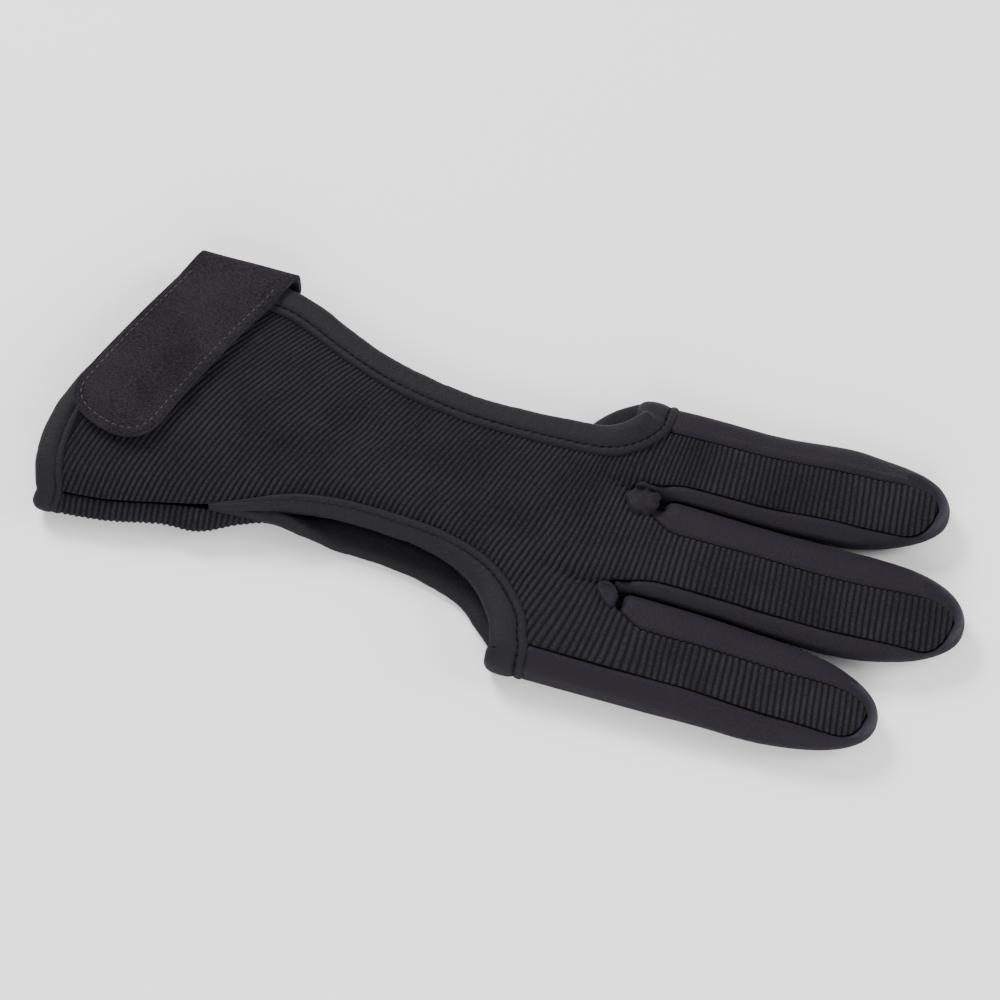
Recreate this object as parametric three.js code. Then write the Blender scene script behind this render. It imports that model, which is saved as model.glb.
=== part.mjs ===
// Three-finger archery glove for the left hand, lying with the back of the hand up.
// Millimetres. +X runs from the cuff to the fingertips, +Y from the thumb side to the little-finger side, +Z up.
// The pattern is worked out from the knuckle line (x = 0) and the middle finger's axis (y = 0);
// at the end the whole glove is moved so that its origin is the middle of the floor under it.
import * as THREE from "three";

// Driving sizes
const HAND_LENGTH = 134; // knuckle line to the cuff end of the panels
const HAND_WIDTH = 79; // widest part of the cuff
const HAND_THICKNESS = 13; // floor to the top of the back panel
const FINGER_PITCH = 28.2; // between neighbouring finger axes
const FINGER_THICKNESS = 10;
const WALL = 1.1; // stretch fabric and microfibre
const SEAM = 0.3; // clearance between pieces that are sewn to each other
const STRIP_SEAM = 0.4; // clearance beside a strip, where the edges are turned in
const STRIP_ROUND = 9; // length of a strip's rounded end
const NOTCH_WIDTH = 6.4; // between two strips at the crotch
const NOTCH_LENGTH = 13; // over which a strip narrows from the crotch
const NOTCH_BIAS = 1.5; // how far a notch lies towards the thumb side of the gap between two fingers
const NOTCH_DEPTH = 2; // how far a crotch reaches back into the back panel
const VALLEY_HEIGHT = 7.6; // top of the back panel at a crotch
const TIP_ROUND = 17; // length over which a fingertip thins
const TIP_DROP = 1.2; // how far the tip's point lies under the finger's mid height
const INDEX_START = -13.2; // index leather's edge on the thumb side
const RING_START = 3.4; // ring leather's edge on the little-finger side
const BAND_WIDTH = 7.2; // folded binding tape of the two openings
const LOOP_BAND_WIDTH = 9; // the tape where it turns round the index finger's base
const BAND_THICKNESS = 2.2;
const CUFF_BAND_WIDTH = 5.8;
const PALM_CURL = 10; // width over which the palm panel curls up at its sides
const PALM_CURL_HEIGHT = 8; // height of that curl's full round
const STRAP_WIDTH = 24.5;
const STRAP_REACH = 63.5; // from the little-finger edge over the back
const STRAP_THICKNESS = 1.7;
const STRAP_LIFT = 0.5; // strap's clearance over the fabric that it lies on
const STRAP_ROUND = 10; // length of its rounded end
const STRAP_CLEAR = 1.8; // between the side tape's edge and the inside of the strap's turn
const STRAP_PLACE = -0.84; // share of the hand's length where the strap's middle leaves the edge
const STRAP_SLANT = 18; // degrees towards the cuff
const STRAP_SEWN_GAP = 0.9; // between its sewn end and the palm panel's border
const GUSSET_LENGTH = 8;
const GUSSET_LOW = 6.3; // underside of a crotch gusset
const GUSSET_HIGH = 8.5; // its edges on the top side
const GUSSET_END = 0.6; // thickness of its far end
const GUSSET_CROWN = 0.9; // how far its middle puffs up
const SIDE_ROLL = -14; // degrees that the side opening's tape lifts from the back panel's slope

// Section of a finger: a rounded box. Larger is squarer.
const SECTION_POWER = 2.3;
const TAPER_POWER = 2.2;
const WELD = 1e-4; // points nearer than this are one

// Fingers. place: in finger pitches from the middle finger; tip: strip's end to the fingertip;
// strip: width of the ribbed strip, shift: how far it lies off the finger's axis;
// sections: along as a share of the length, lean and width as shares of the pitch and the full width.
const FINGERS = {
  index: {
    place: -1,
    length: 72.4,
    taper: 36,
    tip: 3.6,
    strip: 11.8,
    shift: -2,
    sections: [
      { along: -0.2, lean: 0.015, width: 0.99 },
      { along: 0.35, lean: 0.005, width: 1.0 },
      { along: 0.65, lean: -0.025, width: 1.0 },
      { along: 1, lean: -0.035, width: 1.0 },
    ],
  },
  middle: {
    place: 0,
    length: 86.5,
    taper: 31,
    tip: 4.6,
    strip: 13.6,
    shift: -3.4,
    sections: [
      { along: -0.2, lean: 0.015, width: 0.95 },
      { along: 0.3, lean: 0.01, width: 0.95 },
      { along: 0.6, lean: -0.01, width: 1.02 },
      { along: 1, lean: 0.055, width: 1.02 },
    ],
  },
  ring: {
    place: 1,
    length: 75.8,
    taper: 34,
    tip: 4.2,
    strip: 13.6,
    shift: -2.5,
    sections: [
      { along: -0.2, lean: -0.035, width: 0.91 },
      { along: 0.35, lean: -0.025, width: 0.93 },
      { along: 0.7, lean: 0.03, width: 1.0 },
      { along: 1, lean: 0.1, width: 1.0 },
    ],
  },
};

// Hand sections from the cuff to the knuckles, a row each. low is the thumb side, high the little-finger side.
// X and Y place the back panel's borders, as shares of the hand's length and width, and bow bends the row towards
// the cuff. Z columns are outer heights, and curl is how far the back's thumb border turns down, as shares of the
// thickness. Out columns are how far the palm's borders lie outside the back's, as shares of the width.
// Band columns are shares of the tape's width.
const HAND = [
  {
    lowX: -1.014, lowY: -0.353, highX: -0.905, highY: 0.49, bow: -0.052,
    lowZ: 0.665, midZ: 1, highZ: 0.7, curl: 0.14, palmZ: 0.55,
    lowOut: 0, highOut: 0, lowBand: 0.1, palmBand: 0.1,
  },
  {
    lowX: -0.93, lowY: -0.339, highX: -0.84, highY: 0.49, bow: -0.03,
    lowZ: 0.665, midZ: 1.04, highZ: 0.7, curl: 0.14, palmZ: 0.55,
    lowOut: 0, highOut: 0, lowBand: 0.1, palmBand: 0.1,
  },
  {
    lowX: -0.828, lowY: -0.299, highX: -0.776, highY: 0.475, bow: -0.015,
    lowZ: 0.67, midZ: 1.04, highZ: 0.7, curl: 0.14, palmZ: 0.55,
    lowOut: 0, highOut: 0, lowBand: 0.1, palmBand: 0.1,
  },
  {
    lowX: -0.731, lowY: -0.257, highX: -0.713, highY: 0.45, bow: -0.008,
    lowZ: 0.71, midZ: 1.04, highZ: 0.7, curl: 0.15, palmZ: 0.55,
    lowOut: 0.016, highOut: 0, lowBand: 0.1, palmBand: 0.1,
  },
  {
    lowX: -0.619, lowY: -0.178, highX: -0.609, highY: 0.37, bow: 0,
    lowZ: 0.82, midZ: 1.04, highZ: 0.7, curl: 0.15, palmZ: 0.26,
    lowOut: 0.024, highOut: 0, lowBand: 0.5, palmBand: 0.55,
  },
  {
    lowX: -0.522, lowY: -0.149, highX: -0.501, highY: 0.305, bow: 0,
    lowZ: 0.89, midZ: 1.02, highZ: 0.7, curl: 0.14, palmZ: 0.05,
    lowOut: 0.006, highOut: 0, lowBand: 0.62, palmBand: 1,
  },
  {
    lowX: -0.41, lowY: -0.149, highX: -0.366, highY: 0.262, bow: 0,
    lowZ: 0.9, midZ: 1, highZ: 0.71, curl: 0.14, palmZ: 0.02,
    lowOut: 0.01, highOut: 0, lowBand: 0.66, palmBand: 1,
  },
  {
    lowX: -0.306, lowY: -0.166, highX: -0.254, highY: 0.252, bow: 0,
    lowZ: 0.9, midZ: 0.98, highZ: 0.73, curl: 0.13, palmZ: 0.02,
    lowOut: 0.022, highOut: 0, lowBand: 0.75, palmBand: 1,
  },
  {
    lowX: -0.216, lowY: -0.215, highX: -0.154, highY: 0.252, bow: 0,
    lowZ: 0.89, midZ: 0.95, highZ: 0.76, curl: 0.09, palmZ: 0.02,
    lowOut: 0.028, highOut: 0.015, lowBand: 0.9, palmBand: 1,
  },
  {
    lowX: -0.157, lowY: -0.289, highX: -0.067, highY: 0.263, bow: 0,
    lowZ: 0.85, midZ: 0.91, highZ: 0.8, curl: 0.05, palmZ: 0.03,
    lowOut: 0.034, highOut: 0.05, lowBand: 1, palmBand: 1,
  },
  {
    lowX: -0.116, lowY: -0.377, highX: -0.015, highY: 0.313, bow: 0,
    lowZ: 0.8, midZ: 0.86, highZ: 0.82, curl: 0.02, palmZ: 0.06,
    lowOut: 0.03, highOut: 0.08, lowBand: 1.1, palmBand: 1.1,
  },
];
const ROW_STEPS = 2; // built rows for each row of the table
const OPENING_ROW = 3.45; // where the thumb opening's tape starts
const SIDE_ROW = 2.5; // where the palm panel's little-finger tape ends, at the strap
const PALM_SIDE_Z = 0.4; // palm panel's outer height at its little-finger border

// Soft dents of the back panel: place as shares along and across the hand, sizes as shares of the width.
const DENTS = [
  { along: -0.52, across: 0.12, depth: 0.014, radius: 0.13 },
  { along: -0.3, across: 0.02, depth: 0.01, radius: 0.16 },
  { along: -0.62, across: -0.04, depth: 0.01, radius: 0.12 },
];

// Section of a folded tape, from the sewn side: out and up as shares of its width and thickness.
const TAPE_SECTION = [
  { out: 0, up: -0.3 },
  { out: 0, up: 0.3 },
  { out: 0.12, up: 0.5 },
  { out: 0.27, up: 0.22 },
  { out: 0.42, up: 0.5 },
  { out: 0.85, up: 0.44 },
  { out: 1, up: 0 },
  { out: 0.85, up: -0.44 },
  { out: 0.12, up: -0.5 },
];

const UNDER_INSET = 6; // palm panel's corners lie this far inside the outer fingers' sides

const COLOURS = { ribbed: 0x232126, leather: 0x2d2b30, suede: 0x302d34 };

// Small helpers
const lerp = THREE.MathUtils.lerp;
const smooth = THREE.MathUtils.smoothstep;
const clamp01 = (value) => THREE.MathUtils.clamp(value, 0, 1);
const signedPower = (value, power) => Math.sign(value) * Math.abs(value) ** power;
const range = (count) => Array.from({ length: count + 1 }, (_, i) => i);

// A smooth curve through one column of evenly spaced rows.
function sampleRows(rows, column, t) {
  const last = rows.length - 1;
  const i = THREE.MathUtils.clamp(Math.floor(t), 0, last - 1);
  const f = t - i;
  const at = (k) => rows[THREE.MathUtils.clamp(k, 0, last)][column];
  const [a, b, c, d] = [at(i - 1), at(i), at(i + 1), at(i + 2)];
  return 0.5 * (2 * b + (c - a) * f + (2 * a - 5 * b + 4 * c - d) * f ** 2 + (3 * b - a - 3 * c + d) * f ** 3);
}

// A column of rows that are placed by another column, eased from row to row.
function easeRows(rows, key, column, position) {
  let i = 0;
  while (i < rows.length - 2 && position > rows[i + 1][key]) i += 1;
  const [a, b] = [rows[i], rows[i + 1]];
  return lerp(a[column], b[column], smooth(position, a[key], b[key]));
}

// Turns points and triangles into one closed solid with its faces outwards.
function solid(points, triangles) {
  let volume = 0;
  for (const [a, b, c] of triangles) volume += points[a].dot(points[b].clone().cross(points[c]));
  const faces = volume < 0 ? triangles.map(([a, b, c]) => [a, c, b]) : triangles;
  const geometry = new THREE.BufferGeometry().setFromPoints(points);
  geometry.setIndex(faces.flat());
  geometry.computeVertexNormals();
  return geometry;
}

// A sheet of the given wall behind a surface that is made of grids of points, welded where they share an edge.
// A point may bring its own outer side, which its neighbours across a seam share.
function sheet(grids, wall) {
  const points = [];
  const outer = [];
  const known = new Map();
  const vertex = (p) => {
    const key = p.toArray().map((c) => Math.round(c / WELD)).join();
    if (!known.has(key)) {
      known.set(key, points.length);
      points.push(p.clone());
      outer.push(p.outer);
    }
    return known.get(key);
  };
  const faces = [];
  for (const grid of grids) {
    for (let i = 0; i + 1 < grid.length; i++) {
      for (let j = 0; j + 1 < grid[i].length; j++) {
        const [a, b, c, d] = [grid[i][j], grid[i + 1][j], grid[i + 1][j + 1], grid[i][j + 1]].map(vertex);
        for (const face of [[a, b, c], [a, c, d]]) if (new Set(face).size === 3) faces.push(face);
      }
    }
  }
  const normals = points.map(() => new THREE.Vector3());
  const edges = new Set();
  for (const [a, b, c] of faces) {
    const across = points[b].clone().sub(points[a]);
    const normal = across.cross(points[c].clone().sub(points[a]));
    for (const k of [a, b, c]) normals[k].add(normal);
    for (const [k, m] of [[a, b], [b, c], [c, a]]) edges.add(k + "," + m);
  }
  const count = points.length;
  for (let k = 0; k < count; k++) {
    const side = outer[k] ?? normals[k].normalize();
    points.push(points[k].clone().addScaledVector(side, -wall));
  }
  const triangles = [...faces, ...faces.map(([a, b, c]) => [a + count, c + count, b + count])];
  for (const edge of edges) {
    const [a, b] = edge.split(",").map(Number);
    if (!edges.has(b + "," + a)) triangles.push([b, a, a + count], [b, a + count, b + count]);
  }
  return solid(points, triangles);
}

// A solid through closed rings of the same number of points, capped at both ends.
function loft(rings) {
  const size = rings[0].length;
  const points = rings.flat();
  const triangles = [];
  for (let i = 0; i + 1 < rings.length; i++) {
    for (let j = 0; j < size; j++) {
      const [a, b] = [i * size + j, i * size + ((j + 1) % size)];
      triangles.push([a, b, b + size], [a, b + size, a + size]);
    }
  }
  for (const [ring, turned] of [[0, true], [rings.length - 1, false]]) {
    const middle = new THREE.Vector3();
    for (const p of rings[ring]) middle.addScaledVector(p, 1 / size);
    points.push(middle);
    for (let j = 0; j < size; j++) {
      const [a, b] = [ring * size + j, ring * size + ((j + 1) % size)];
      triangles.push(turned ? [b, a, points.length - 1] : [a, b, points.length - 1]);
    }
  }
  return solid(points, triangles);
}

// A folded tape along stations that hold a point of the sewn edge, its outer side, the width and the roll in
// degrees by which the tape turns down from the edge. flush is 0 where the tape is centred on the panel's wall
// and 1 where it is level with the panel's outside.
function tape(stations) {
  const rings = stations.map(({ edge, outer, width, roll = 0, flush = 0 }, i) => {
    const before = stations[Math.max(i - 1, 0)].edge;
    const after = stations[Math.min(i + 1, stations.length - 1)].edge;
    const axis = after.clone().sub(before).normalize();
    const angle = THREE.MathUtils.degToRad(roll);
    const out = axis.clone().cross(outer).normalize().applyAxisAngle(axis, angle);
    const up = out.clone().cross(axis);
    const middleDepth = lerp(WALL, BAND_THICKNESS, flush) / 2;
    return TAPE_SECTION.map((corner) =>
      edge
        .clone()
        .addScaledVector(out, SEAM + corner.out * width)
        .addScaledVector(up, corner.up * BAND_THICKNESS - middleDepth),
    );
  });
  return loft(rings);
}

// Outer side of a surface at one place of it, from the ways along its two parameters.
const STEP = 0.02;
function outerSide(surface, a, b, way) {
  const along = surface(a + STEP, b).sub(surface(a - STEP, b));
  const across = surface(a, b + STEP).sub(surface(a, b - STEP));
  return along.cross(across).normalize().multiplyScalar(way);
}

// Section of a finger at x: middle and half width across, middle height and half height.
function fingerSection(finger, x) {
  const along = x / finger.length;
  const taper = clamp01((x - finger.length + finger.taper) / finger.taper);
  const thin = clamp01((x - finger.length + TIP_ROUND) / TIP_ROUND);
  const plan = (1 - taper ** TAPER_POWER) ** (1 / TAPER_POWER);
  const side = (1 - thin ** TAPER_POWER) ** (1 / TAPER_POWER);
  const width = easeRows(finger.sections, "along", "width", along);
  return {
    middle: (finger.place + easeRows(finger.sections, "along", "lean", along)) * FINGER_PITCH,
    half: ((FINGER_PITCH - SEAM) / 2) * width * plan,
    height: FINGER_THICKNESS / 2 - TIP_DROP * (1 - side),
    rise: (FINGER_THICKNESS / 2) * side,
  };
}

// A point of a finger's outside: the angle turns from the high side (0) over the top (a quarter turn).
function fingerPoint(finger, x, angle) {
  const { middle, half, height, rise } = fingerSection(finger, x);
  const power = 2 / SECTION_POWER;
  return new THREE.Vector3(
    x,
    middle + half * signedPower(Math.cos(angle), power),
    height + rise * signedPower(Math.sin(angle), power),
  );
}

// The same point with its outer side.
function fingerSurface(finger, x, angle) {
  const p = fingerPoint(finger, x, angle);
  p.outer = outerSide((at, turn) => fingerPoint(finger, at, turn), x, angle, -1);
  return p;
}

// The angle on a finger's top at the height of y.
function angleAt(finger, x, y) {
  const { middle, half } = fingerSection(finger, x);
  const share = half > WELD ? THREE.MathUtils.clamp((y - middle) / half, -1, 1) : 0;
  return Math.acos(signedPower(share, SECTION_POWER / 2));
}

const topHeight = (finger, x, y) => fingerPoint(finger, x, angleAt(finger, x, y)).z;

// Where a finger's strip would end on one side (-1 low, 1 high) if it had no notch.
const plainEdge = (finger, x, side) =>
  fingerSection(finger, x).middle + finger.shift + (side * finger.strip) / 2;

// The neighbour on one side of a finger, if there is one.
const neighbour = (finger, side) =>
  Object.values(FINGERS).find((other) => other.place === finger.place + side);

// The line between two neighbouring fingers.
function valley(finger, other, x) {
  const [a, b] = [fingerSection(finger, x), fingerSection(other, x)];
  const way = Math.sign(b.middle - a.middle);
  return (a.middle + way * a.half + b.middle - way * b.half) / 2;
}

// Where a finger's strip ends on one side at x. grow widens it by a clearance.
function stripEdge(finger, x, side, grow) {
  const end = finger.length - finger.tip + grow;
  const rounding = clamp01((x - end + STRIP_ROUND) / STRIP_ROUND);
  const other = neighbour(finger, side);
  let edge = plainEdge(finger, x, side);
  if (other) {
    const notch = valley(finger, other, 0) - NOTCH_BIAS - (side * NOTCH_WIDTH) / 2;
    edge = lerp(notch, edge, smooth(x, 0, NOTCH_LENGTH));
  }
  const axis = fingerSection(finger, x).middle + finger.shift * (1 - rounding);
  return axis + (edge + side * grow - axis) * Math.sqrt(1 - rounding ** 2);
}

const NOTCH_ROWS = 3; // rows beside a notch
const STRIP_ROWS = 4; // rows along a strip's straight part, and as many round its end
const TIP_ROWS = [0.45, 0.8, 1]; // rows between the strip's end and the fingertip

// Rows along a finger from the given start to the strip's end, and for the leather on to the tip.
function fingerRows(finger, start, grow, toTip) {
  const end = finger.length - finger.tip + grow;
  const straight = end - STRIP_ROUND;
  const rows = range(NOTCH_ROWS).map((i) => lerp(start, NOTCH_LENGTH, i / NOTCH_ROWS));
  const steps = range(STRIP_ROWS).slice(1).map((i) => i / STRIP_ROWS);
  for (const share of steps) rows.push(lerp(NOTCH_LENGTH, straight, share));
  for (const share of steps) rows.push(straight + STRIP_ROUND * Math.sin((share * Math.PI) / 2));
  if (toTip) for (const share of TIP_ROWS) rows.push(lerp(end, finger.length, share));
  return rows;
}

// Back panel rows: the hand's in millimetres, one where the index leather starts and one at the crotches.
const { index, middle, ring } = FINGERS;
const handRows = HAND.map((row) => ({
  ...row,
  lowX: row.lowX * HAND_LENGTH,
  lowY: row.lowY * HAND_WIDTH,
  highX: row.highX * HAND_LENGTH,
  highY: row.highY * HAND_WIDTH,
  bow: row.bow * HAND_LENGTH,
}));
const lastHand = handRows[handRows.length - 1];
const crotchRow = {
  ...lastHand,
  lowX: 0,
  lowY: stripEdge(index, 0, -1, 0),
  highX: RING_START,
  highY: stripEdge(ring, RING_START, 1, 0),
};
const SHOULDER_REACH = { x: 0.6, y: 0.55 }; // its high end, between the last hand row's and the crotch's
const shoulderRow = {
  ...crotchRow,
  lowX: INDEX_START,
  lowY: stripEdge(index, INDEX_START, -1, 0),
  highX: lerp(lastHand.highX, RING_START, SHOULDER_REACH.x),
  highY: lerp(lastHand.highY, crotchRow.highY, SHOULDER_REACH.y),
};
const backRows = [...handRows, shoulderRow, crotchRow];
const SHOULDER = handRows.length;
const CROTCH = backRows.length - 1;
const back = (column, t) => sampleRows(backRows, column, t);

// Bend of a row towards the cuff, which reaches 1 a third of the way across.
const bend = (v) => (27 / 4) * v * (1 - v) ** 2;

function dentDepth(x, y) {
  let depth = 0;
  for (const dent of DENTS) {
    const away = Math.hypot(x - dent.along * HAND_LENGTH, y - dent.across * HAND_WIDTH);
    depth += dent.depth * HAND_WIDTH * Math.exp(-((away / (dent.radius * HAND_WIDTH)) ** 2));
  }
  return depth;
}

const CURL_SHARE = 0.12; // share of a row over which the thumb border turns down
const KNUCKLE_ROWS = 3; // rows over which the back rises to the fingers' tops
const KNUCKLE_SHARE = 0.25; // share of a row, from the thumb border, that gets there sooner

// Outer surface of the back panel at row t and share v across. Beyond the shoulder its thumb border is the
// index strip's edge.
function backPoint(t, v) {
  const lowX = t > SHOULDER ? lerp(INDEX_START, 0, t - SHOULDER) : back("lowX", t);
  const lowY = t > SHOULDER ? stripEdge(index, lowX, -1, 0) : back("lowY", t);
  const x = lerp(lowX, back("highX", t), v) + bend(v) * back("bow", t);
  const y = lerp(lowY, back("highY", t), v);
  const heights = ["lowZ", "midZ", "highZ", "curl"].map((key) => back(key, t) * HAND_THICKNESS);
  const [border, mid, high, curl] = heights;
  const low = border + curl;
  const turned = curl * Math.max(0, 1 - v / CURL_SHARE) ** 2;
  const dome = lerp(low, high, v) + (mid - (low + high) / 2) * 4 * v * (1 - v) - turned - dentDepth(x, y);
  const tops = Object.values(FINGERS).map((finger) => topHeight(finger, x, y));
  const knuckle = Math.max(VALLEY_HEIGHT, ...tops);
  const reached = lerp(SHOULDER, CROTCH, Math.min(1, v / KNUCKLE_SHARE));
  return new THREE.Vector3(x, y, lerp(dome, knuckle, smooth(t, SHOULDER - KNUCKLE_ROWS, reached)));
}

// Places across the crotch row: the three strips with a notch between each two.
const STRIP_CELLS = { index: 4, middle: 5, ring: 5 };
function acrossStrip(finger, x, cells) {
  const [from, to] = [stripEdge(finger, x, -1, 0), stripEdge(finger, x, 1, 0)];
  return range(cells).map((j) => lerp(from, to, j / cells));
}
const shareAcross = (y) => (y - crotchRow.lowY) / (crotchRow.highY - crotchRow.lowY);
const crotchX = (v) => lerp(crotchRow.lowX, crotchRow.highX, v);

const topSide = (finger, p) => fingerSurface(finger, p.x, angleAt(finger, p.x, p.y)).outer;

function backPanel() {
  const columns = [];
  const starts = {};
  for (const name of ["index", "middle", "ring"]) {
    starts[name] = columns.length;
    const ys = acrossStrip(FINGERS[name], 0, STRIP_CELLS[name]);
    columns.push(...ys.map(shareAcross));
    const other = neighbour(FINGERS[name], 1);
    if (other) columns.push(shareAcross((ys[ys.length - 1] + stripEdge(other, 0, -1, 0)) / 2));
  }
  const steps = CROTCH * ROW_STEPS;
  const hand = range(steps).map((i) => columns.map((v) => backPoint(i / ROW_STEPS, v)));
  for (let i = SHOULDER * ROW_STEPS; i <= steps; i++) hand[i][0].outer = topSide(index, hand[i][0]);
  for (const [name, cells] of Object.entries(STRIP_CELLS)) {
    const strip = hand[steps].slice(starts[name], starts[name] + cells + 1);
    for (const p of strip) p.outer = topSide(FINGERS[name], p);
  }
  const notches = [starts.middle - 1, starts.ring - 1];
  for (const j of notches) hand[steps][j].x -= NOTCH_DEPTH;
  const strips = Object.entries(STRIP_CELLS).map(([name, cells]) => {
    const finger = FINGERS[name];
    const first = hand[steps].slice(starts[name], starts[name] + cells + 1);
    const grid = range(fingerRows(finger, 0, 0, false).length - 1).slice(1).map((i) =>
      first.map((start, j) => {
        const x = fingerRows(finger, start.x, 0, false)[i];
        const y = acrossStrip(finger, x, cells)[j];
        return fingerSurface(finger, x, angleAt(finger, x, y));
      }),
    );
    return [first, ...grid];
  });
  return sheet([hand, ...strips], WALL);
}

// Palm panel rows: its borders follow the back's rows and end at the straight seam under the fingers.
function underSeam(y) {
  const low = stripBase(index, -1);
  const high = stripBase(ring, 1);
  return lerp(INDEX_START, RING_START, clamp01((y - low) / (high - low)));
}
function stripBase(finger, side) {
  const { middle: axis, half } = fingerSection(finger, INDEX_START);
  return axis + side * (half - UNDER_INSET);
}
const palmRows = handRows.map((row, i) => {
  const outwards = (side) => {
    const [xKey, yKey] = [side + "X", side + "Y"];
    const [before, after] = [handRows[Math.max(i - 1, 0)], handRows[Math.min(i + 1, handRows.length - 1)]];
    const way = new THREE.Vector2(before[yKey] - after[yKey], after[xKey] - before[xKey]).normalize();
    return way.multiplyScalar((side === "low" ? -1 : 1) * row[side + "Out"] * HAND_WIDTH);
  };
  const [low, high] = [outwards("low"), outwards("high")];
  return {
    ...row,
    lowX: row.lowX + low.x,
    lowY: row.lowY + low.y,
    highX: row.highX + high.x,
    highY: row.highY + high.y,
  };
});
palmRows.push({
  ...lastHand,
  lowX: underSeam(stripBase(index, -1)),
  lowY: stripBase(index, -1),
  highX: underSeam(stripBase(ring, 1)),
  highY: stripBase(ring, 1),
});
const PALM_END = palmRows.length - 1;
const palm = (column, t) => sampleRows(palmRows, column, t);

// The palm panel's outer surface in row t: curled up at both borders and flat on the floor between them.
const CURL_CELLS = 4;
const FLAT_CELLS = 5;
const SEAM_ROWS = 2; // rows over which the palm eases into the straight seam
function palmRow(t) {
  const round = PALM_CURL_HEIGHT / 2;
  const lowTop = Math.asin(clamp01((palm("palmZ", t) * HAND_THICKNESS) / round / 2) * 2 - 1);
  const highTop = Math.asin((PALM_SIDE_Z / round) - 1);
  const [lowY, highY] = [palm("lowY", t), palm("highY", t)];
  const side = (top, border, way) =>
    range(CURL_CELLS).map((k) => {
      const angle = lerp(top, -Math.PI / 2, k / CURL_CELLS);
      const y = border + way * PALM_CURL * (Math.cos(top) - Math.cos(angle));
      return { y, z: round * (1 + Math.sin(angle)) };
    });
  const low = side(lowTop, lowY, 1);
  const high = side(highTop, highY, -1);
  const [from, to] = [low[CURL_CELLS].y, high[CURL_CELLS].y];
  const flat = range(FLAT_CELLS).slice(1, -1).map((k) => ({ y: lerp(from, to, k / FLAT_CELLS), z: 0 }));
  return [...low, ...flat, ...high.reverse()].map(({ y, z }) => {
    const v = (y - lowY) / (highY - lowY);
    const x = lerp(palm("lowX", t), palm("highX", t), v) + bend(clamp01(v)) * palm("bow", t);
    return new THREE.Vector3(lerp(x, underSeam(y), smooth(t, PALM_END - SEAM_ROWS, PALM_END)), y, z);
  });
}

// The palm panel's outer side at point j of a row.
function palmSide(row, j) {
  const [before, after] = [row[Math.max(j - 1, 0)], row[Math.min(j + 1, row.length - 1)]];
  return new THREE.Vector3(0, after.z - before.z, before.y - after.y).normalize();
}

function palmPanel() {
  const rows = range(PALM_END * ROW_STEPS).map((i) => palmRow(i / ROW_STEPS));
  const end = rows[rows.length - 1];
  end.forEach((p, j) => {
    p.outer = palmSide(end, j);
  });
  return sheet([rows.map((row) => row.reverse())], WALL);
}

// Finger leather: a shell from one edge of the strip round under the finger to the other, closed at the tip.
const LEATHER_CELLS = 14;
const SIDE_HEIGHTS = { from: 0.45, to: 0.7 }; // of the thickness, where its base leaves the underside's line
function leatherBase(finger, point) {
  const side = point.y < fingerSection(finger, 0).middle ? -1 : 1;
  const ends = side < 0 ? INDEX_START : RING_START;
  const start = neighbour(finger, side) ? crotchX(clamp01(shareAcross(point.y))) + 2 * SEAM : ends;
  const height = point.z / FINGER_THICKNESS;
  return lerp(underSeam(point.y), start, smooth(height, SIDE_HEIGHTS.from, SIDE_HEIGHTS.to)) + SEAM;
}
function leatherPoint(finger, x, share) {
  const [from, to] = [-1, 1].map((side) => angleAt(finger, x, stripEdge(finger, x, side, STRIP_SEAM)));
  const surface = x < finger.length ? fingerSurface : fingerPoint;
  return surface(finger, x, lerp(from, to + 2 * Math.PI, share));
}
function fingerLeather(finger) {
  const count = fingerRows(finger, 0, STRIP_SEAM, true).length - 1;
  const grid = range(count).map((i) =>
    range(LEATHER_CELLS).map((j) => {
      const share = 1 - j / LEATHER_CELLS;
      const base = leatherBase(finger, leatherPoint(finger, 0, share));
      return leatherPoint(finger, fingerRows(finger, base, STRIP_SEAM, true)[i], share);
    }),
  );
  return sheet([grid], WALL);
}

// Crotch gusset: a small puffed wedge that fills the valley between two finger leathers.
const GUSSET_STEPS = 5;
function crotchGusset(low, high) {
  const base = crotchX(shareAcross(valley(low, high, 0))) + 2 * SEAM;
  const rings = range(GUSSET_STEPS).map((i) => {
    const share = i / GUSSET_STEPS;
    const x = base + share * GUSSET_LENGTH;
    const top = lerp(GUSSET_HIGH, GUSSET_LOW + GUSSET_END, share ** 2);
    const wall = (finger, way, z) => {
      const { middle: axis, half, height, rise } = fingerSection(finger, x);
      const level = (1 - Math.abs((z - height) / rise) ** SECTION_POWER) ** (1 / SECTION_POWER);
      return axis + way * (half * level + SEAM);
    };
    const levels = [0, 0.5, 1].map((k) => lerp(GUSSET_LOW, top, k));
    const left = levels.map((z) => new THREE.Vector3(x, wall(low, 1, z), z));
    const right = levels.map((z) => new THREE.Vector3(x, wall(high, -1, z), z));
    const crown = new THREE.Vector3(x, (left[2].y + right[2].y) / 2, top + GUSSET_CROWN * (1 - share));
    return [...left, crown, ...right.reverse()];
  });
  return loft(rings);
}

const edgeOf = (surface, a, b, way, width, roll = 0) => ({
  edge: surface(a, b),
  outer: outerSide(surface, a, b, way),
  width,
  roll,
});

// A place of the palm panel's border or end row, with the tape level with the panel's outside.
function palmEdge(t, j, width) {
  const row = palmRow(t);
  const k = j < 0 ? row.length - 1 : j;
  return { edge: row[k], outer: palmSide(row, k), width, flush: 1 };
}

// The same on the border of an opening, where the tape lies flat once the border has come down to the floor.
const FLAT_ROWS = { from: OPENING_ROW + 0.5, to: OPENING_ROW + 1.5 };
function openingEdge(t, j, width) {
  const place = palmEdge(t, j, width);
  place.outer.lerp(new THREE.Vector3(0, 0, -1), smooth(t, FLAT_ROWS.from, FLAT_ROWS.to)).normalize();
  return place;
}

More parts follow.
